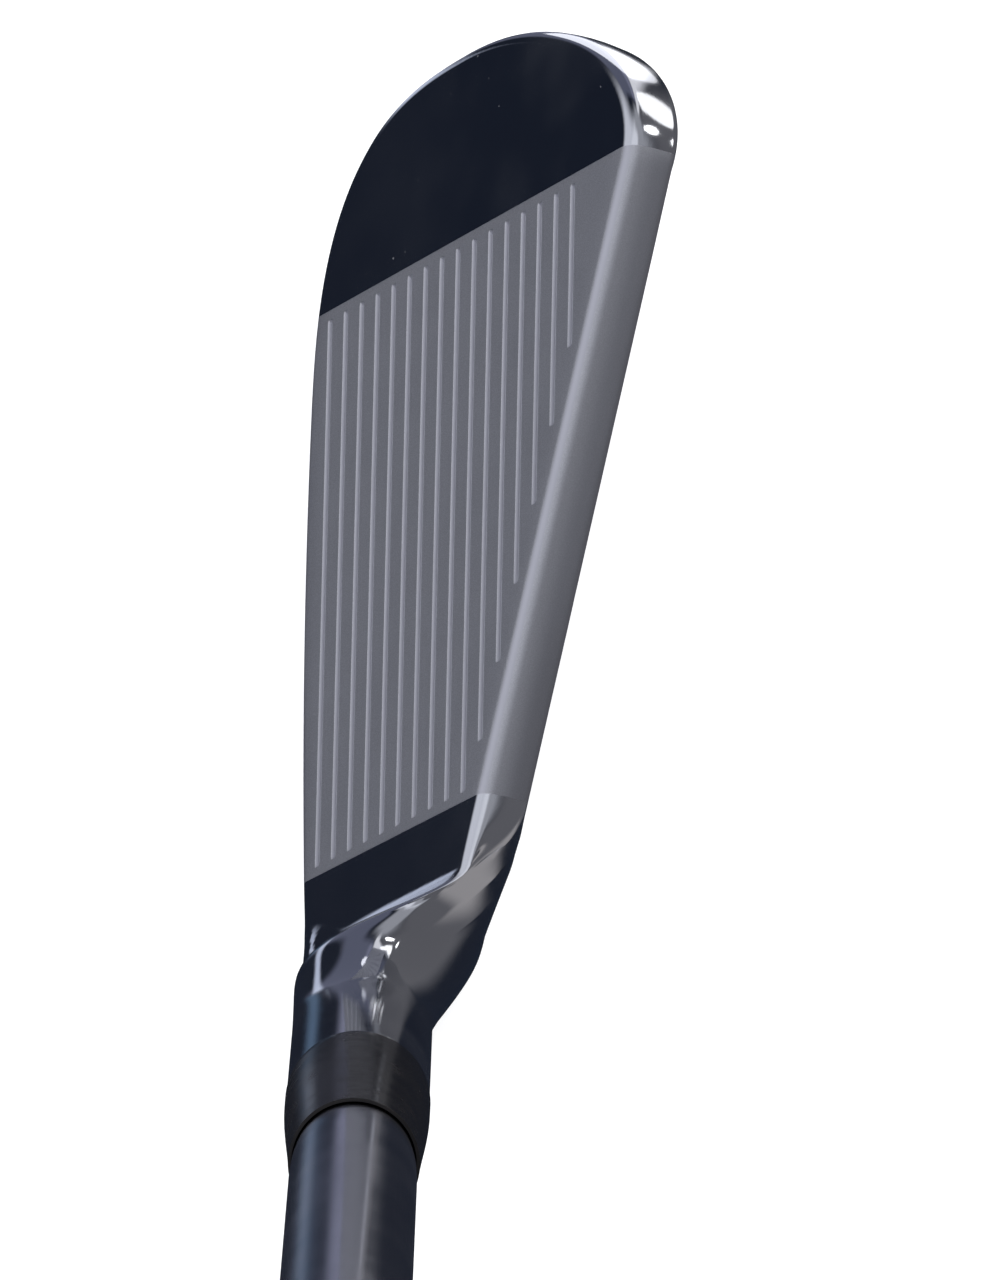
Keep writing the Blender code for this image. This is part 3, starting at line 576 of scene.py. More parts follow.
# ---------------------------------------------------------------- materials
class Net:
    """Short-hand for building a node tree."""

    def __init__(self, name):
        self.mat = bpy.data.materials.new(name)
        self.mat.use_nodes = True
        self.t = self.mat.node_tree
        self.bsdf = self.t.nodes["Principled BSDF"]
        self.coord = self.t.nodes.new("ShaderNodeTexCoord")

    def link(self, a, b):
        self.t.links.new(a, b)

    def value(self, target, v):
        if isinstance(v, (int, float)):
            target.default_value = v
        elif isinstance(v, (tuple, list)):
            d = target.default_value
            target.default_value = (*v, 1.0) if len(v) == 3 and len(
                d) == 4 else v
        else:
            self.link(v, target)

    def math(self, op, a, b=None, c=None, clamp=False):
        n = self.t.nodes.new("ShaderNodeMath")
        n.operation = op
        n.use_clamp = clamp
        for i, v in enumerate((a, b, c)):
            if v is not None:
                self.value(n.inputs[i], v)
        return n.outputs[0]

    def vmath(self, op, a, b=None, scale=None):
        n = self.t.nodes.new("ShaderNodeVectorMath")
        n.operation = op
        self.value(n.inputs[0], a)
        if b is not None:
            self.value(n.inputs[1], b)
        if scale is not None:
            self.value(n.inputs["Scale"], scale)
        return n.outputs["Value"] if op in ("DOT_PRODUCT", "LENGTH") else \
            n.outputs[0]

    def ramp(self, v, lo, hi, out0=0.0, out1=1.0, smooth=True):
        n = self.t.nodes.new("ShaderNodeMapRange")
        n.interpolation_type = 'SMOOTHSTEP' if smooth else 'LINEAR'
        n.clamp = True
        for i, x in enumerate((v, lo, hi, out0, out1)):
            self.value(n.inputs[i], x)
        return n.outputs[0]

    def noise(self, scale, detail=2.0, rough=0.5, vector=None, distort=0.0):
        n = self.t.nodes.new("ShaderNodeTexNoise")
        n.inputs["Scale"].default_value = scale
        n.inputs["Detail"].default_value = detail
        n.inputs["Roughness"].default_value = rough
        n.inputs["Distortion"].default_value = distort
        self.link(vector or self.coord.outputs["Object"], n.inputs["Vector"])
        return n.outputs["Fac"]

    def mixcol(self, f, a, b):
        n = self.t.nodes.new("ShaderNodeMix")
        n.data_type = 'RGBA'
        self.value(n.inputs[0], f)
        self.value(n.inputs[6], a)
        self.value(n.inputs[7], b)
        return n.outputs[2]

    def mix(self, f, a, b):
        n = self.t.nodes.new("ShaderNodeMix")
        n.data_type = 'FLOAT'
        self.value(n.inputs[0], f)
        self.value(n.inputs[2], a)
        self.value(n.inputs[3], b)
        return n.outputs[0]

    def along(self, a, b):
        """Coordinates along the shaft (scaled a) and across it (b)."""
        p = self.coord.outputs["Object"]
        n = self.t.nodes.new("ShaderNodeCombineXYZ")
        u = (0.0, -math.cos(LIE), math.sin(LIE))
        v = (0.0, math.sin(LIE), math.cos(LIE))
        for i, (axis, k) in enumerate(((u, a), ((1.0, 0.0, 0.0), b),
                                       (v, b))):
            self.link(self.vmath("DOT_PRODUCT", p, tuple(
                c * k for c in axis)), n.inputs[i])
        return n.outputs[0]

    def scale(self, vec):
        return self.vmath("MULTIPLY", self.coord.outputs["Object"], vec)

    def bump(self, height, distance, strength=1.0, normal=None):
        n = self.t.nodes.new("ShaderNodeBump")
        n.inputs["Distance"].default_value = distance
        self.value(n.inputs["Strength"], strength)
        self.link(height, n.inputs["Height"])
        if normal is not None:
            self.link(normal, n.inputs["Normal"])
        return n.outputs[0]

    def set(self, **kw):
        for k, v in kw.items():
            name = k.replace("_", " ")
            self.value(self.bsdf.inputs[name], v)
        return self.mat


FC = tuple(c * MM for c in FACE_CENTRE)
U3 = (UP[0], 0.0, UP[1])
T3 = (IN[0], 0.0, IN[1])


def head_material():
    """Forged steel: mirror polish with a blasted band between two lines."""
    n = Net("head_finish")
    p = n.vmath("SUBTRACT", n.coord.outputs["Object"], FC)
    h = n.vmath("DOT_PRODUCT", p, U3)
    t = n.vmath("DOT_PRODUCT", p, T3)
    y = n.vmath("DOT_PRODUCT", p, (0.0, 1.0, 0.0))
    ay = n.math("ABSOLUTE", y)
    span = n.ramp(ay, (SATIN_HALF - 0.06) * MM, (SATIN_HALF + 0.06) * MM,
                  1.0, 0.0)
    front = n.ramp(t, 0.9 * MM, 1.5 * MM, 1.0, 0.0)
    # distance under the top line
    line = n.math("SUBTRACT", h, n.math("MULTIPLY_ADD", y, TOP_SLOPE, (
        TOP_PEAK[0] - TOP_SLOPE * TOP_PEAK[1]) * MM))
    crest = n.ramp(line, -3.2 * MM, -2.2 * MM)
    zone = n.math("MAXIMUM", front, crest)
    # a mask for the back of the blade, inside the perimeter; nothing uses it
    back = n.ramp(t, 2.6 * MM, 2.9 * MM)
    satin = n.math("MULTIPLY", span, zone)
    grain = n.noise(9000, 3.0, 0.6)
    pits = n.noise(3800, 2.0, 0.5)
    blotch = n.noise(160, 3.0, 0.55)
    # face milling between the score lines: fine lines along the blade
    hv = n.t.nodes.new("ShaderNodeCombineXYZ")
    n.link(h, hv.inputs[0])
    n.link(n.math("MULTIPLY", y, 0.02), hv.inputs[1])
    mill = n.noise(5200, 1.0, 0.5, vector=hv.outputs[0])
    on_face = n.ramp(t, 0.02 * MM, 0.05 * MM, 1.0, 0.0)
    # straight hair scratches in the polished areas
    scr = n.noise(1.0, 4.0, 0.65, vector=n.scale((900, 260, 5200)))
    smudge = n.noise(90, 4.0, 0.6)
    rough_polish = n.ramp(smudge, 0.42, 0.75, 0.045, 0.11)
    # the buffing wheel leaves the neck and the toe corner a little softer
    soft_neck = n.ramp(y, -44 * MM, -34 * MM, 0.02, 0.0)
    soft_toe = n.math("MULTIPLY", n.ramp(y, 28 * MM, 34 * MM, 0.0, 0.07),
                      n.ramp(t, 0.6 * MM, 1.6 * MM))
    rough_polish = n.math("ADD", rough_polish, n.math("ADD", soft_neck,
                                                      soft_toe))
    rough_satin = n.ramp(blotch, 0.3, 0.7, SATIN_ROUGH - 0.008,
                         SATIN_ROUGH + 0.008)
    rough = n.mix(satin, rough_polish, rough_satin)
    cut_in = n.math("MULTIPLY", span, n.math("MULTIPLY", n.ramp(
        t, 0.03 * MM, 0.10 * MM), n.ramp(t, 0.46 * MM, 0.5 * MM, 1.0, 0.0)))
    col_polish = (0.60, 0.61, 0.64)
    col_satin = n.mixcol(n.ramp(grain, 0.35, 0.7), SATIN_DARK, SATIN_LIGHT)
    col_satin = n.mixcol(cut_in, col_satin, (0.62, 0.62, 0.66))
    # painted shade: the blasted colour darkens with depth behind the face, into
    # the score lines and round the face edge
    col_satin = n.mixcol(n.ramp(t, 0.05 * MM, 0.6 * MM, 0.0, 0.42), col_satin,
                         (0.36, 0.37, 0.40))
    # painted shade: the blasted top line darkens further back from the face
    col_satin = n.mixcol(n.ramp(t, 1.4 * MM, 3.4 * MM, 0.0, 0.30), col_satin,
                         (0.34, 0.35, 0.39))
    col = n.mixcol(satin, col_polish, col_satin)
    b1 = n.bump(grain, 0.00002, n.math("MULTIPLY", satin, 0.30))
    b2 = n.bump(pits, 0.00004, n.math("MULTIPLY", satin, 0.22), b1)
    b3 = n.bump(mill, 0.00003, n.math("MULTIPLY", n.math(
        "MULTIPLY", satin, on_face), 0.35), b2)
    b4 = n.bump(scr, 0.000004, n.math("SUBTRACT", 1.0, satin), b3)
    # faint oil haze on the mirror, stronger up and along the middle
    film = n.noise(38, 3.0, 0.6, vector=n.vmath("ADD", n.coord.outputs[
        "Object"], (0.031, 0.012, 0.0)))
    lift = n.ramp(h, -12 * MM, 26 * MM, 0.15, 1.0)
    film = n.math("MULTIPLY", n.ramp(film, 0.34, 0.68), lift)
    fleck = n.ramp(n.noise(1500, 1.0, 0.4), 0.80, 0.84)
    haze = n.math("ADD", n.math("MULTIPLY", film, 0.032),
                  n.math("MULTIPLY", fleck, 0.20))
    metal = n.math("SUBTRACT", 1.0, n.math("MULTIPLY", haze, n.math(
        "SUBTRACT", 1.0, satin)))
    return n.set(Base_Color=col, Metallic=metal, Roughness=rough, Normal=b4,
                 IOR=1.2)


def chrome_material(name, colour, rough, seed):
    n = Net(name)
    smudge = n.noise(60 + seed, 4.0, 0.6)
    hair = n.noise(1.0, 3.0, 0.6, vector=n.along(2600, 120))
    r = n.ramp(smudge, 0.35, 0.75, rough, rough + 0.06)
    b = n.bump(hair, 0.000002, 0.5)
    c = n.mixcol(n.ramp(smudge, 0.3, 0.8), colour,
                 tuple(v * 0.93 for v in colour))
    return n.set(Base_Color=c, Metallic=1.0, Roughness=r, Normal=b)


def ferrule_material():
    n = Net("ferrule_finish")
    spin = n.noise(1.0, 3.0, 0.6, vector=n.along(3200, 90))
    haze = n.noise(300, 3.0, 0.6)
    r = n.ramp(haze, 0.3, 0.8, 0.16, 0.30)
    b = n.bump(spin, 0.000008, 0.5)
    c = n.mixcol(haze, (0.006, 0.006, 0.007), (0.014, 0.013, 0.013))
    return n.set(Base_Color=c, Roughness=r, Normal=b, Metallic=0.0,
                 Specular_IOR_Level=0.3, IOR=1.22)


def rubber_material(name, a, b_, scale=1500.0):
    n = Net(name)
    g = n.noise(scale, 4.0, 0.65)
    wear = n.noise(70, 3.0, 0.6)
    c = n.mixcol(n.ramp(wear, 0.35, 0.75), a, b_)
    r = n.ramp(g, 0.3, 0.7, 0.62, 0.82)
    bb = n.bump(g, 0.00008, 0.5)
    return n.set(Base_Color=c, Roughness=r, Normal=bb, Metallic=0.0,
                 Sheen_Weight=0.08, Sheen_Roughness=0.4,
                 Specular_IOR_Level=0.35)


def plain_material(name, colour, rough, metallic, grain=1200.0,
                   stretch=(1.0, 1.0, 1.0), depth=0.00002):
    n = Net(name)
    g = n.noise(grain, 3.0, 0.6, vector=n.scale(stretch))
    c = n.mixcol(n.ramp(g, 0.3, 0.75), colour, tuple(v * 0.82
                                                     for v in colour))
    r = n.ramp(g, 0.3, 0.7, rough - 0.05, rough + 0.06)
    return n.set(Base_Color=c, Metallic=metallic, Roughness=r,
                 Normal=n.bump(g, depth, 0.5))


def band_material():
    """Foil band: dark field with plain stripes round the shaft."""
    n = Net("band_finish")
    p = n.vmath("SUBTRACT", n.coord.outputs["Object"],
                (AXIS_X * MM, AXIS_Y0 * MM, 0.0))
    a = n.vmath("DOT_PRODUCT", p, (0.0, -math.cos(LIE), math.sin(LIE)))
    f = n.math("SUBTRACT", a, BAND_BOTTOM * MM)

    def stripe(lo, hi):
        return n.math("MULTIPLY", n.ramp(f, lo * MM, (lo + 0.1) * MM),
                      n.ramp(f, hi * MM, (hi + 0.1) * MM, 1.0, 0.0))
    s = n.math("MAXIMUM", stripe(1.5, 2.6), stripe(4.0, 4.5))
    s = n.math("MAXIMUM", s, stripe(22.0, 23.4))
    wide = stripe(8.0, 17.0)
    c = n.mixcol(s, (0.02, 0.03, 0.07), (0.65, 0.66, 0.68))
    c = n.mixcol(wide, c, (0.08, 0.16, 0.34))
    return n.set(Base_Color=c, Roughness=n.ramp(n.noise(200, 3), 0.3, 0.7,
                                                0.22, 0.34),
                 Metallic=n.mix(s, 0.3, 1.0), Coat_Weight=0.6,
                 Coat_Roughness=0.08)


SATIN_HALF = 28.0
SATIN_ROUGH = 0.54
SATIN_DARK = (0.60, 0.60, 0.62)
SATIN_LIGHT = (0.74, 0.74, 0.77)

steel = head_material()
chrome = chrome_material("shaft_chrome_finish", (0.62, 0.62, 0.66), 0.17, 3)
ferrule_mat = ferrule_material()
rubber = rubber_material("grip_rubber_finish", (0.020, 0.020, 0.021),
                         (0.036, 0.036, 0.038))
cap_mat = rubber_material("cap_rubber_finish", (0.028, 0.028, 0.030),
                          (0.045, 0.045, 0.048), 900.0)
nickel = plain_material("badge_finish", (0.50, 0.51, 0.54), 0.26, 1.0, 1.0,
                        (3000, 60, 3000), 0.00001)
tungsten = plain_material("tungsten_finish", (0.32, 0.32, 0.33), 0.30, 1.0,
                          1600.0)
damper = plain_material("damper_finish", (0.03, 0.03, 0.032), 0.7, 0.0)
brass = plain_material("brass_finish", (0.62, 0.45, 0.20), 0.35, 1.0)
tape = plain_material("tape_finish", (0.60, 0.55, 0.44), 0.8, 0.0)
band = band_material()

# --------------------------------------------------------------------- head
verts, faces = head_mesh(stations=44, fan=36, steps=(8, 6, 8, 4, 4),
                         neck=(14, 40, 16), ring_rows=6)
head = put("iron_head", finish_mesh("iron_head", verts, faces), steel,
           "head_body", slot="head_steel")


def bar_mesh(bm, section, y0, y1, ends=0.35):
    """A score line cutter with run-out ramps at its ends."""
    rows = []
    for y, squeeze in ((y0, 0.0), (y0 + ends, 1.0), (y1 - ends, 1.0),
                       (y1, 0.0)):
        row = []
        for h, t, deep in section:
            tt = t if not deep else -0.02 + (t + 0.02) * squeeze
            row.append(bm.verts.new([c * MM for c in from_face(h, y, tt)]))
        rows.append(row)
    m = len(section)
    faces = [bm.faces.new(rows[0]), bm.faces.new(rows[-1][::-1])]
    for a, b in zip(rows, rows[1:]):
        for i in range(m):
            j = (i + 1) % m
            faces.append(bm.faces.new((a[j], a[i], b[i], b[j])))
    bmesh.ops.recalc_face_normals(bm, faces=faces)


def groove_span(k):
    h = (k - (GROOVES - 1) / 2) * GROOVE_PITCH
    heel = TOP_PEAK[1] + (h + 0.9 - TOP_PEAK[0]) / TOP_SLOPE + GROOVE_TOP_GAP
    return h, max(-GROOVE_REACH, heel), GROOVE_REACH


bm = bmesh.new()
for k in range(GROOVES):
    h, y0, y1 = groove_span(k)
    w, f = GROOVE_WIDTH / 2, GROOVE_FLOOR / 2
    sec = [(h - w, -0.3, False), (h + w, -0.3, False), (h + w, -0.02, False),
           (h + w - 0.05, 0.05, True), (h + f + 0.06, GROOVE_DEPTH - 0.05, True),
           (h + f - 0.03, GROOVE_DEPTH, True),
           (h - f + 0.03, GROOVE_DEPTH, True),
           (h - f - 0.06, GROOVE_DEPTH - 0.05, True),
           (h - w + 0.05, 0.05, True), (h - w, -0.02, False)]
    bar_mesh(bm, sec, y0, y1)
cut_me = bpy.data.meshes.new("score_cutter")
bm.to_mesh(cut_me)
bm.free()
cut = bpy.data.objects.new("score_cutter", cut_me)
bpy.context.scene.collection.objects.link(cut)
mod = head.modifiers.new("score", 'BOOLEAN')
mod.operation = 'DIFFERENCE'
mod.solver = 'EXACT'
mod.object = cut

WEIGHT_Y = 25.0
WEIGHT_H = -10.8
WEIGHT_R = 2.5
WEIGHT_FLOOR = 6.2
WEIGHT_TOP = 13.2


def lathe_mesh(name, profile, segs, place=None, sharp=35.0):
    """Profile of (radius, height) turned about Z; closed if it meets
    itself, and capped where it touches the axis."""
    verts, faces = [], []
    m = len(profile)
    for k in range(segs):
        a = 2 * math.pi * k / segs
        for r, z in profile:
            verts.append((r * math.cos(a), r * math.sin(a), z))
    ends_on_axis = profile[0][0] < 1e-9
    for k in range(segs):
        j = (k + 1) % segs
        for i in range(m if not ends_on_axis else m - 1):
            i2 = (i + 1) % m
            faces.append((k * m + i, j * m + i, j * m + i2, k * m + i2))
    me = bpy.data.meshes.new(name)
    me.from_pydata([tuple(c * MM for c in v) for v in verts], [], faces)
    bm = bmesh.new()
    bm.from_mesh(me)
    bmesh.ops.remove_doubles(bm, verts=bm.verts, dist=2e-7)
    bmesh.ops.dissolve_degenerate(bm, dist=1e-7, edges=bm.edges)
    bmesh.ops.recalc_face_normals(bm, faces=bm.faces)
    bm.to_mesh(me)
    bm.free()
    if place is not None:
        me.transform(place)
    me.shade_smooth()
    me.set_sharp_from_angle(angle=math.radians(sharp))
    return me


FACE_OUT = Matrix.Translation([c * MM for c in from_face(
    WEIGHT_H, WEIGHT_Y, 0.0)]) @ Matrix.Rotation(math.pi / 2 + LOFT, 4, 'Y')
SHAFT_AT = Matrix.Translation((AXIS_X * MM, AXIS_Y0 * MM, 0.0)) @ \
    Matrix.Rotation(math.pi / 2 - LIE, 4, 'X')

pocket_me = lathe_mesh("pocket", [(0.0, 23.0), (WEIGHT_R + 0.3, 23.0),
                                  (WEIGHT_R + 0.3, WEIGHT_FLOOR),
                                  (0.0, WEIGHT_FLOOR)], 64, FACE_OUT)
pocket = bpy.data.objects.new("pocket", pocket_me)
bpy.context.scene.collection.objects.link(pocket)
mod = head.modifiers.new("pocket", 'BOOLEAN')
mod.operation = 'DIFFERENCE'
mod.solver = 'EXACT'
mod.object = pocket
apply_modifiers(head)
for o in (cut, pocket):
    bpy.data.objects.remove(o, do_unlink=True)
head.data.materials.clear()
head.data.materials.append(steel)
head.data.set_sharp_from_angle(angle=math.radians(30))


def arc(cx, cz, r, a0, a1, n):
    return [(cx + r * math.cos(math.radians(a0 + (a1 - a0) * i / n)),
             cz + r * math.sin(math.radians(a0 + (a1 - a0) * i / n)))
            for i in range(n + 1)]


# weight plug with a hex drive and a broken edge
w_me = lathe_mesh("toe_plug", [(0.0, WEIGHT_TOP)] + arc(
    WEIGHT_R - 0.35, WEIGHT_TOP - 0.35, 0.35, 90, 0, 5) + arc(
    WEIGHT_R - 0.2, WEIGHT_FLOOR + 0.5, 0.2, 0, -90, 3) + [
    (0.0, WEIGHT_FLOOR + 0.3)], 64, FACE_OUT)
plug = put("toe_plug", w_me, tungsten, "toe_weight", slot="tungsten")
hexm = lathe_mesh("hex", [(0.0, WEIGHT_TOP + 2), (1.4, WEIGHT_TOP + 2),
                          (1.4, WEIGHT_TOP - 1.6), (0.0, WEIGHT_TOP - 2.2)],
                  6, FACE_OUT)
hexo = bpy.data.objects.new("hex", hexm)
bpy.context.scene.collection.objects.link(hexo)
mod = plug.modifiers.new("hex", 'BOOLEAN')
mod.operation = 'DIFFERENCE'
mod.solver = 'EXACT'
mod.object = hexo
apply_modifiers(plug)
bpy.data.objects.remove(hexo, do_unlink=True)
plug.data.materials.clear()
plug.data.materials.append(tungsten)

# ---------------------------------------------------------- turned pieces
turned_mesh = lambda name, prof, segs=96, sharp=35.0: lathe_mesh(
    name, prof, segs, SHAFT_AT, sharp)


def shaft_radius(k):
    return LOWER_R + (BUTT_R - LOWER_R) * k / STEPS


outer = [(TIP_R - 0.35, SHAFT_TIP), (TIP_R, SHAFT_TIP + 0.6),
         (TIP_R, HOSEL_TOP + 0.6), (COLLAR_R, FERRULE_TOP),
         (COLLAR_R + 0.2, FERRULE_TOP + 4.0), (LOWER_R, LOWER_AT)]
for k in range(STEPS):
    t = FIRST_STEP + STEP_RUN * k
    r0, r1 = shaft_radius(k), shaft_radius(k + 1)
    outer += [(r0, t - 0.3), (r0 + 0.02, t), (r0 + (r1 - r0) * 0.5,
                                              t + STEP_SLOPE * 0.5),
              (r1 - 0.02, t + STEP_SLOPE), (r1, t + STEP_SLOPE + 0.3)]
outer += [(BUTT_R, SHAFT_END - 0.3), (BUTT_R - 0.3, SHAFT_END)]
inner = [(BUTT_R - WALL_BUTT, SHAFT_END),
         (BUTT_R - WALL_BUTT, FIRST_STEP + STEP_RUN * STEPS),
         (LOWER_R - WALL_TIP, FIRST_STEP), (LOWER_R - WALL_TIP, LOWER_AT),
         (TIP_R - WALL_TIP, HOSEL_TOP + 0.6), (TIP_R - WALL_TIP, SHAFT_TIP)]
put("steel_shaft", turned_mesh("steel_shaft", outer + inner, 96, 25.0),
    chrome, "shaft", slot="shaft_chrome")

ferrule_profile = [(TIP_R + FERRULE_GAP, FERRULE_BOTTOM),
                   (FERRULE_R - 0.18, FERRULE_BOTTOM)]
ferrule_profile += arc(FERRULE_R - 0.18, FERRULE_BOTTOM + 0.18, 0.18, -90, 0,
                       4)
for i in range(1, 21):
    f = i / 20
    t = FERRULE_BOTTOM + 0.3 + f * (FERRULE_TOP - 0.6 - FERRULE_BOTTOM)
    drop = (FERRULE_R - FERRULE_TOP_R) * ease(max(0.0, (f - 0.18) / 0.82)) \
        * 0.55 + (FERRULE_R - FERRULE_TOP_R) * 0.45 * f ** 2
    ferrule_profile.append((FERRULE_R - drop, t))
ferrule_profile += arc(FERRULE_TOP_R - 0.16, FERRULE_TOP - 0.16, 0.16, 0, 90,
                       4)
ferrule_profile += [(COLLAR_R + FERRULE_GAP, FERRULE_TOP),
                    (TIP_R + FERRULE_GAP, HOSEL_TOP + 0.6)]
put("ferrule_sleeve", turned_mesh("ferrule_sleeve", ferrule_profile, 96),
    ferrule_mat, "ferrule", slot="ferrule_plastic")

put("foil_band", turned_mesh("foil_band", [
    (BUTT_R + 0.15, BAND_BOTTOM), (BUTT_R + 0.36, BAND_BOTTOM),
    (BUTT_R + 0.40, BAND_BOTTOM + 0.06), (BUTT_R + 0.40, BAND_TOP - 0.06),
    (BUTT_R + 0.36, BAND_TOP), (BUTT_R + 0.15, BAND_TOP)]), band,
    "shaft_band", slot="shaft_foil")


def grip_radius(f):
    return GRIP_MOUTH_R + (GRIP_BUTT_R - GRIP_MOUTH_R) * (
        0.55 * f + 0.45 * f ** 2.2)


def grip_mesh():
    """Rubber sleeve with moulded panels: rows of short slanted ribs between
    smooth bands, cut as real relief."""
    segs = 160
    rows = 620
    t0, t1 = GRIP_MOUTH, GRIP_END - 2.0
    verts, faces = [], []
    for i in range(rows + 1):
        t = t0 + (t1 - t0) * i / rows
        f = max(0.0, (t - GRIP_MOUTH - 2.0)) / (GRIP_END - 4.0 - GRIP_MOUTH)
        base = grip_radius(f)
        if t < GRIP_MOUTH + 2.0:
            base -= 0.5 * (1 - ease((t - GRIP_MOUTH) / 2.0))
        inside = ease((t - t0 - 9.0) / 1.0) * ease((t1 - 5.0 - t) / 1.0)
        for j in range(segs):
            a = 2 * math.pi * j / segs
            # panels round the grip
            panel = (a / (2 * math.pi) * 8) % 1.0
            edge = ease((panel - 0.10) / 0.05) * ease((0.90 - panel) / 0.05)
            u = a * base
            w = (t * 0.9 + (u if int(a / (2 * math.pi) * 8) % 2 else -u))
            rib = 0.5 + 0.5 * math.cos(2 * math.pi * w / 3.1)
            cut = (1.0 - ease(rib / 0.55)) * edge * inside
            # plain rings that part the pattern into fields
            ring = min(abs(t - c) for c in (t0 + 70, t0 + 140, t0 + 205))
            cut *= ease((ring - 2.0) / 0.8)
            groove = ease(1 - abs(ring - 2.4) / 0.5) * inside if ring < 4 \
                else 0.0
            r = base - 0.34 * cut - 0.25 * groove
            verts.append((r * math.cos(a), r * math.sin(a), t))
    for i in range(rows):
        for j in range(segs):
            k = (j + 1) % segs
            faces.append((i * segs + j, i * segs + k, (i + 1) * segs + k,
                          (i + 1) * segs + j))
    # bore wall and end rings
    n0 = len(verts)
    for t in (t0, t1):
        for j in range(segs):
            a = 2 * math.pi * j / segs
            verts.append((GRIP_IN * math.cos(a), GRIP_IN * math.sin(a), t))
    top = rows * segs
    for j in range(segs):
        k = (j + 1) % segs
        faces.append((n0 + k, n0 + j, n0 + segs + j, n0 + segs + k))
        faces.append((j, n0 + j, n0 + k, k))
        faces.append((top + j, top + k, n0 + segs + k, n0 + segs + j))
    me = finish_mesh("rubber_grip", verts, faces, 50.0)
    me.transform(SHAFT_AT)
    return me


put("rubber_grip", grip_mesh(), rubber, "grip_sleeve", slot="grip_rubber")

cap_in = GRIP_END - 2.0 + 0.3
cap_profile = [(VENT_R, SHAFT_END + 0.35)] + [
    (GRIP_IN - 0.3, SHAFT_END + 0.35), (GRIP_IN - 0.3, cap_in),
    (GRIP_BUTT_R - 0.05, cap_in), (GRIP_BUTT_R + 0.2, cap_in + 0.3)]
cap_profile += arc(GRIP_BUTT_R - 1.35, CAP_END - 1.9, 1.7, 0, 60, 8)
cap_profile += [(GRIP_BUTT_R - 2.6, CAP_END - 0.12),
                (GRIP_BUTT_R - 3.2, CAP_END), (7.6, CAP_END),
                (7.4, CAP_END - 0.3), (7.0, CAP_END - 0.3), (6.8, CAP_END),
                (VENT_R + 0.3, CAP_END), (VENT_R, CAP_END - 0.3)]
put("butt_cap", turned_mesh("butt_cap", cap_profile, 128), cap_mat,
    "grip_cap", slot="cap_rubber")


# ----------------------------------------------------------- badge in back
def cavity_outline(inset, stations, fan):
    """Outline of the cavity floor, moved in by inset, as (h, y) pairs."""
    pts = []
    heel = -6.0
    for i in range(stations + 1):
        y = heel + (TOE_PIVOT - heel) * i / stations
        pts.append((lower_edge(y) - 2.1 + 21.4 + inset, y))
    for k in range(1, 2 * fan):
        low = k < fan
        f = k / fan if low else k / fan - 1.0
        curve = toe_low if low else toe_high
        p = curve(f)
        d = Vector(curve(min(1.0, f + 0.002))) - Vector(
            curve(max(0.0, f - 0.002)))
        if low:
            w = (wall_mix("sole", "toe_low", min(1.0, f / 0.55))
                 if f < 0.55 else
                 wall_mix("toe_low", "toe", ease((f - 0.55) / 0.45)))
            turn, up = ease(f / 0.3), 1.0
        else:
            w = wall_mix("toe", "top", f)
            turn, up = 1.0, -1.0
        d.normalize()
        n = Vector((d.y, -d.x))
        if n.dot(Vector((spine_height(TOE_PIVOT), TOE_PIVOT)) -
                 Vector(p)) < 0:
            n = -n
        n = (Vector((up, 0.0)) * (1 - turn) + n * turn).normalized()
        reach = w[3][0] - w[4] + inset
        pts.append((p[0] + n.x * reach, p[1] + n.y * reach))
    for i in range(stations + 1):
        y = TOE_PIVOT - (TOE_PIVOT - heel) * i / stations
        pts.append((top_edge(y) - 5.6 - inset * 1.1, y))
    return [p for p in pts if p[1] < 40]


def plate(name, outline, t0, t1, mat, node, slot, bevel):
    bm = bmesh.new()
    lower = [bm.verts.new([c * MM for c in from_face(h, y, t0)])
             for h, y in outline]
    upper = [bm.verts.new([c * MM for c in from_face(h, y, t1)])
             for h, y in outline]
    bm.faces.new(lower)
    bm.faces.new(upper[::-1])
    m = len(outline)
    for i in range(m):
        j = (i + 1) % m
        bm.faces.new((lower[j], lower[i], upper[i], upper[j]))
    bmesh.ops.recalc_face_normals(bm, faces=bm.faces)
    me = bpy.data.meshes.new(name)
    bm.to_mesh(me)
    bm.free()
    ob = put(name, me, mat, node, slot=slot)
    mod = ob.modifiers.new("edge", 'BEVEL')
    mod.width = bevel * MM
    mod.segments = 3
    mod.limit_method = 'ANGLE'
    mod.angle_limit = math.radians(50)
    apply_modifiers(ob)
    ob.data.materials.clear()
    ob.data.materials.append(mat)
    ob.data.shade_smooth()
    ob.data.set_sharp_from_angle(angle=math.radians(30))
    return ob


plate("damper_pad", cavity_outline(2.0, 20, 30), 3.3, 4.0, damper,
      "cavity_damper", "damper_elastomer", 0.08)
plate("badge_plate", cavity_outline(2.4, 20, 30), 4.3, 5.1, nickel,
      "cavity_badge", "badge_nickel", 0.2)

for node_name, mat in (("tip_weight", brass), ("grip_tape", tape)):
    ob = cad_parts[node_name]
    for s in range(len(ob.material_slots)):
        ob.material_slots[s].material = mat

# ------------------------------------------------------------------- stage
scene = bpy.context.scene
scene.view_settings.view_transform = 'Standard'

floor_me = bpy.data.meshes.new("floor")
S = 6.0
floor_me.from_pydata([(-S, -S, -0.0002), (S, -S, -0.0002), (S, S, -0.0002),
                      (-S, S, -0.0002)], [], [(0, 1, 2, 3)])
floor = bpy.data.objects.new("floor", floor_me)
scene.collection.objects.link(floor)
fm = bpy.data.materials.new("floor")
fm.use_nodes = True
b = fm.node_tree.nodes["Principled BSDF"]
b.inputs["Base Color"].default_value = (0.45, 0.45, 0.45, 1)
b.inputs["Roughness"].default_value = 1.0
b.inputs["Specular IOR Level"].default_value = 0.0
b.inputs["Emission Color"].default_value = (1.0, 1.0, 1.0, 1)
b.inputs["Emission Strength"].default_value = 0.80
floor.data.materials.append(fm)
floor.visible_glossy = False

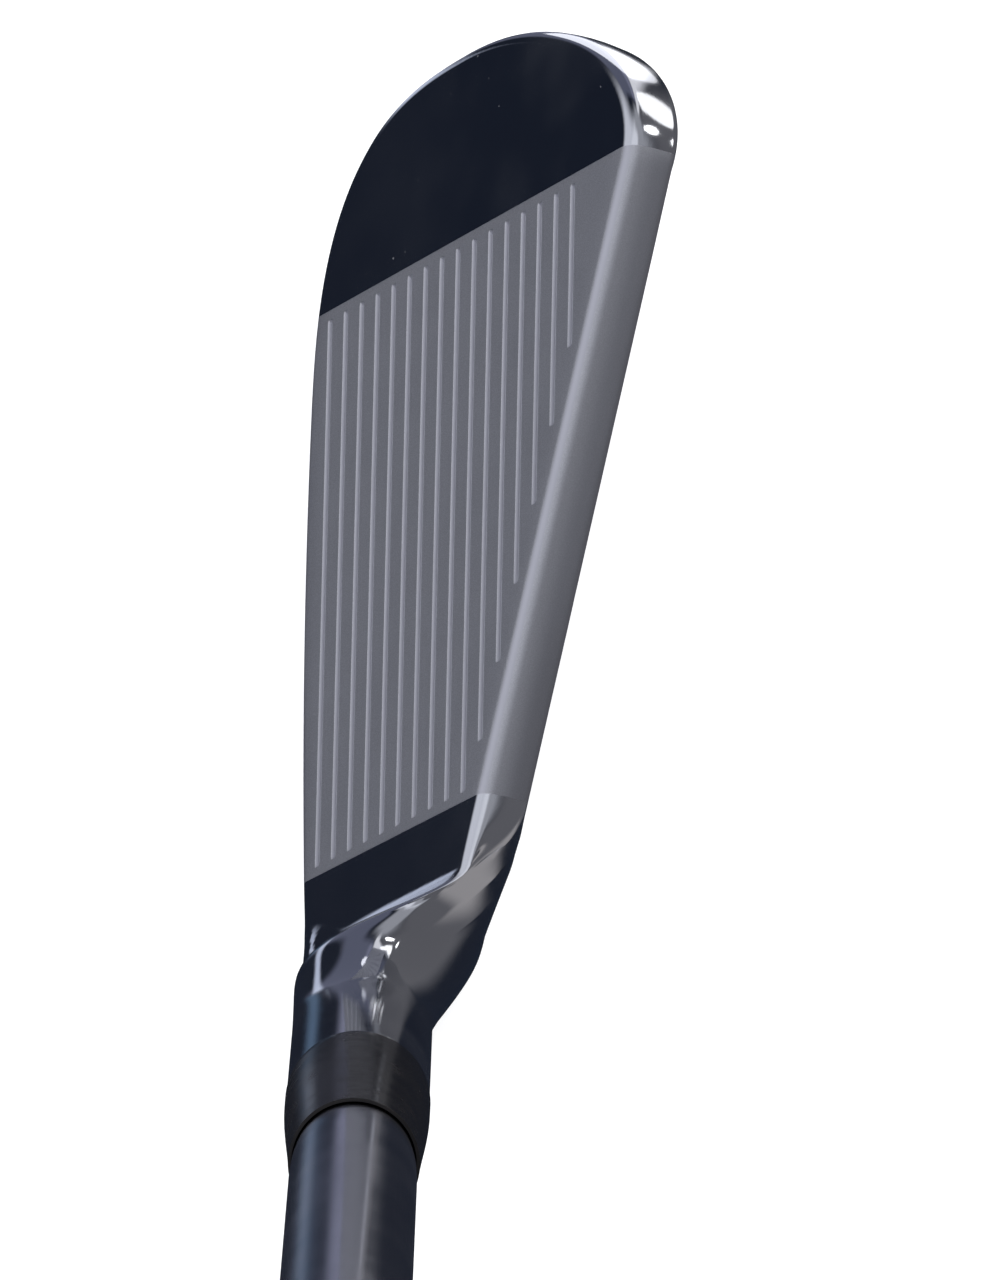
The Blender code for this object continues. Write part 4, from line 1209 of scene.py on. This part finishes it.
# camera: long lens, straight from the player's eyes
CAM_FROM_FACE = (4.703, -538.880, 1507.577)
CAM_ROWS = ((0.99978383, 0.01957337, 0.00701311),
            (-0.02079130, 0.94359807, 0.33043971),
            (-0.00014973, -0.33051409, 0.94380104))
cam_data = bpy.data.cameras.new("camera")
cam_data.sensor_width = 36.0
cam_data.lens = 17354.84 * 36.0 / 1280.0
cam_data.clip_start = 0.01
cam_data.clip_end = 50.0
cam = bpy.data.objects.new("camera", cam_data)
scene.collection.objects.link(cam)
rot = Matrix((CAM_ROWS[0], CAM_ROWS[1], CAM_ROWS[2])).transposed()
cam.matrix_world = Matrix.Translation(
    [(a + b_) * MM for a, b_ in zip(CAM_FROM_FACE, FACE_CENTRE)]
) @ rot.to_4x4()
scene.camera = cam


def area(name, loc, target, size, size_y, power, colour=(1, 1, 1)):
    ld = bpy.data.lights.new(name, 'AREA')
    ld.shape = 'RECTANGLE'
    ld.size = size
    ld.size_y = size_y
    ld.energy = power
    ld.color = colour
    lo = bpy.data.objects.new(name, ld)
    scene.collection.objects.link(lo)
    lo.location = loc
    lo.rotation_euler = (Vector(target) - Vector(loc)).to_track_quat(
        '-Z', 'Y').to_euler()
    lo.visible_glossy = False
    return lo


area("top_soft", (0.25, 0.55, 1.9), (0, 0, 0), 1.6, 1.2, 26)
area("front_soft", (-1.6, 0.1, 1.3), (0, 0, 0), 1.4, 1.4, 16,
     (0.94, 0.97, 1.0))


def toe_card(name, bearing, height, far, w, hgt, power, colour=(1, 1, 1)):
    """A soft card that the chrome at the toe sees."""
    a, b_ = math.radians(bearing), math.radians(height)
    toe = Vector((0.015, 0.040, 0.050))
    v = Vector((math.sin(a) * math.cos(b_), math.cos(a) * math.cos(b_),
                math.sin(b_)))
    lo = area(name, toe + v * far, toe, w, hgt, power, colour)
    lo.data.shape = 'ELLIPSE'
    lo.visible_glossy = True
    lo.visible_camera = False
    return lo


toe_card("card_wide", 44, 0, 0.16, 0.095, 0.080, 0.030)
toe_card("card_side", 76, 4, 0.16, 0.022, 0.030, 0.005)
toe_card("card_rim", 4, -32, 0.070, 0.060, 0.052, 0.0092,
         (0.95, 0.96, 1.0))
toe_card("card_spot", 64, 24, 0.16, 0.030, 0.030, 0.010)

# world: a plain studio, pale above, dark below the bench line
world = bpy.data.worlds.new("studio")
scene.world = world
world.use_nodes = True
nt = world.node_tree
nt.nodes.clear()


class WorldNet(Net):
    def __init__(self, tree):
        self.t = tree
        self.coord = tree.nodes.new("ShaderNodeTexCoord")


wn = WorldNet(nt)
d = wn.vmath("NORMALIZE", wn.coord.outputs["Generated"])
dx = wn.vmath("DOT_PRODUCT", d, (1, 0, 0))
dy = wn.vmath("DOT_PRODUCT", d, (0, 1, 0))
dz = wn.vmath("DOT_PRODUCT", d, (0, 0, 1))
az = wn.math("MULTIPLY", wn.math("ARCTAN2", dx, dy), 180 / math.pi)
el = wn.math("MULTIPLY", wn.math("ARCSINE", dz), 180 / math.pi)


def between(v, lo, hi, soft, soft_hi=None):
    soft_hi = soft if soft_hi is None else soft_hi
    return wn.math("MULTIPLY", wn.ramp(v, lo - soft, lo + soft),
                   wn.ramp(v, hi - soft_hi, hi + soft_hi, 1.0, 0.0))


def card(sky, colour, a0, a1, e0, e1, sa=5.0, se=5.0, tilt=0.0):
    """A soft card seen between two bearings and two heights."""
    bearing = az if tilt == 0.0 else wn.math("MULTIPLY_ADD", el, -tilt, az)
    m = wn.math("MULTIPLY", between(bearing, a0, a1, sa),
                between(el, e0, e1, se))
    return wn.mixcol(m, sky, colour)


sky = wn.mixcol(wn.ramp(el, 30, 72), (0.013, 0.017, 0.029),
                (0.90, 0.92, 1.0))
sky = card(sky, (0.78, 0.80, 0.88), -160, -35, 4, 62, 22, 14)
sky = card(sky, (0.40, 0.41, 0.45), 4, 160, 30, 62, 10, 8)
sky = card(sky, (0.14, 0.14, 0.155), 30, 150, -50, 28, 10, 9)
sky = card(sky, (0.40, 0.385, 0.39), 108, 150, -50, -24, 7, 8)
sky = card(sky, (0.13, 0.14, 0.20), -32, 8, -58, 22, 5, 6)
sky = card(sky, (0.22, 0.23, 0.32), 3, 14, -60, 22, 4, 6, 0.2)
sky = card(sky, (0.95, 0.95, 1.0), 15, 27, -48, 32, 2.5, 5, 0.2)

# long narrow light that runs along the fold of the heel
line = wn.math("ADD", el, wn.math("MULTIPLY_ADD", az, 0.75, 73.5))
strip = wn.math("MULTIPLY", wn.ramp(wn.math("ABSOLUTE", line), 1.5, 5.5,
                                    1.0, 0.0), between(az, -54, -20, 6))
sky = wn.mixcol(strip, sky, (0.62, 0.68, 0.85))

# directions near the line of the shaft, as seen past the head
cone = Vector((0.0, math.cos(LIE), -math.sin(LIE)))
side_b = Vector((0.0, math.sin(LIE), math.cos(LIE)))
ca = wn.vmath("DOT_PRODUCT", d, tuple(cone))
cb = wn.vmath("DOT_PRODUCT", d, tuple(side_b))
beta = wn.math("MULTIPLY", wn.math("ARCCOSINE", ca), 180 / math.pi)
theta = wn.math("MULTIPLY", wn.math("ARCTAN2", dx, cb), 180 / math.pi)
near = wn.ramp(beta, 15, 11)
sky = wn.mixcol(near, sky, (0.013, 0.016, 0.026))
for lo, hi, soft, colour in ((-36, 20, 8, (0.22, 0.23, 0.32)),
                             (-99, -78, 6, (0.09, 0.14, 0.22))):
    m = wn.math("MULTIPLY", near, between(theta, lo, hi, soft))
    sky = wn.mixcol(m, sky, colour)
bg = nt.nodes.new("ShaderNodeBackground")
wn.link(sky, bg.inputs["Color"])
bg.inputs["Strength"].default_value = 1.0
pale = nt.nodes.new("ShaderNodeBackground")
pale.inputs["Color"].default_value = (0.92, 0.92, 0.93, 1)
lp = nt.nodes.new("ShaderNodeLightPath")
mixs = nt.nodes.new("ShaderNodeMixShader")
out = nt.nodes.new("ShaderNodeOutputWorld")
wn.link(lp.outputs["Is Camera Ray"], mixs.inputs[0])
wn.link(bg.outputs[0], mixs.inputs[1])
wn.link(pale.outputs[0], mixs.inputs[2])
wn.link(mixs.outputs[0], out.inputs["Surface"])
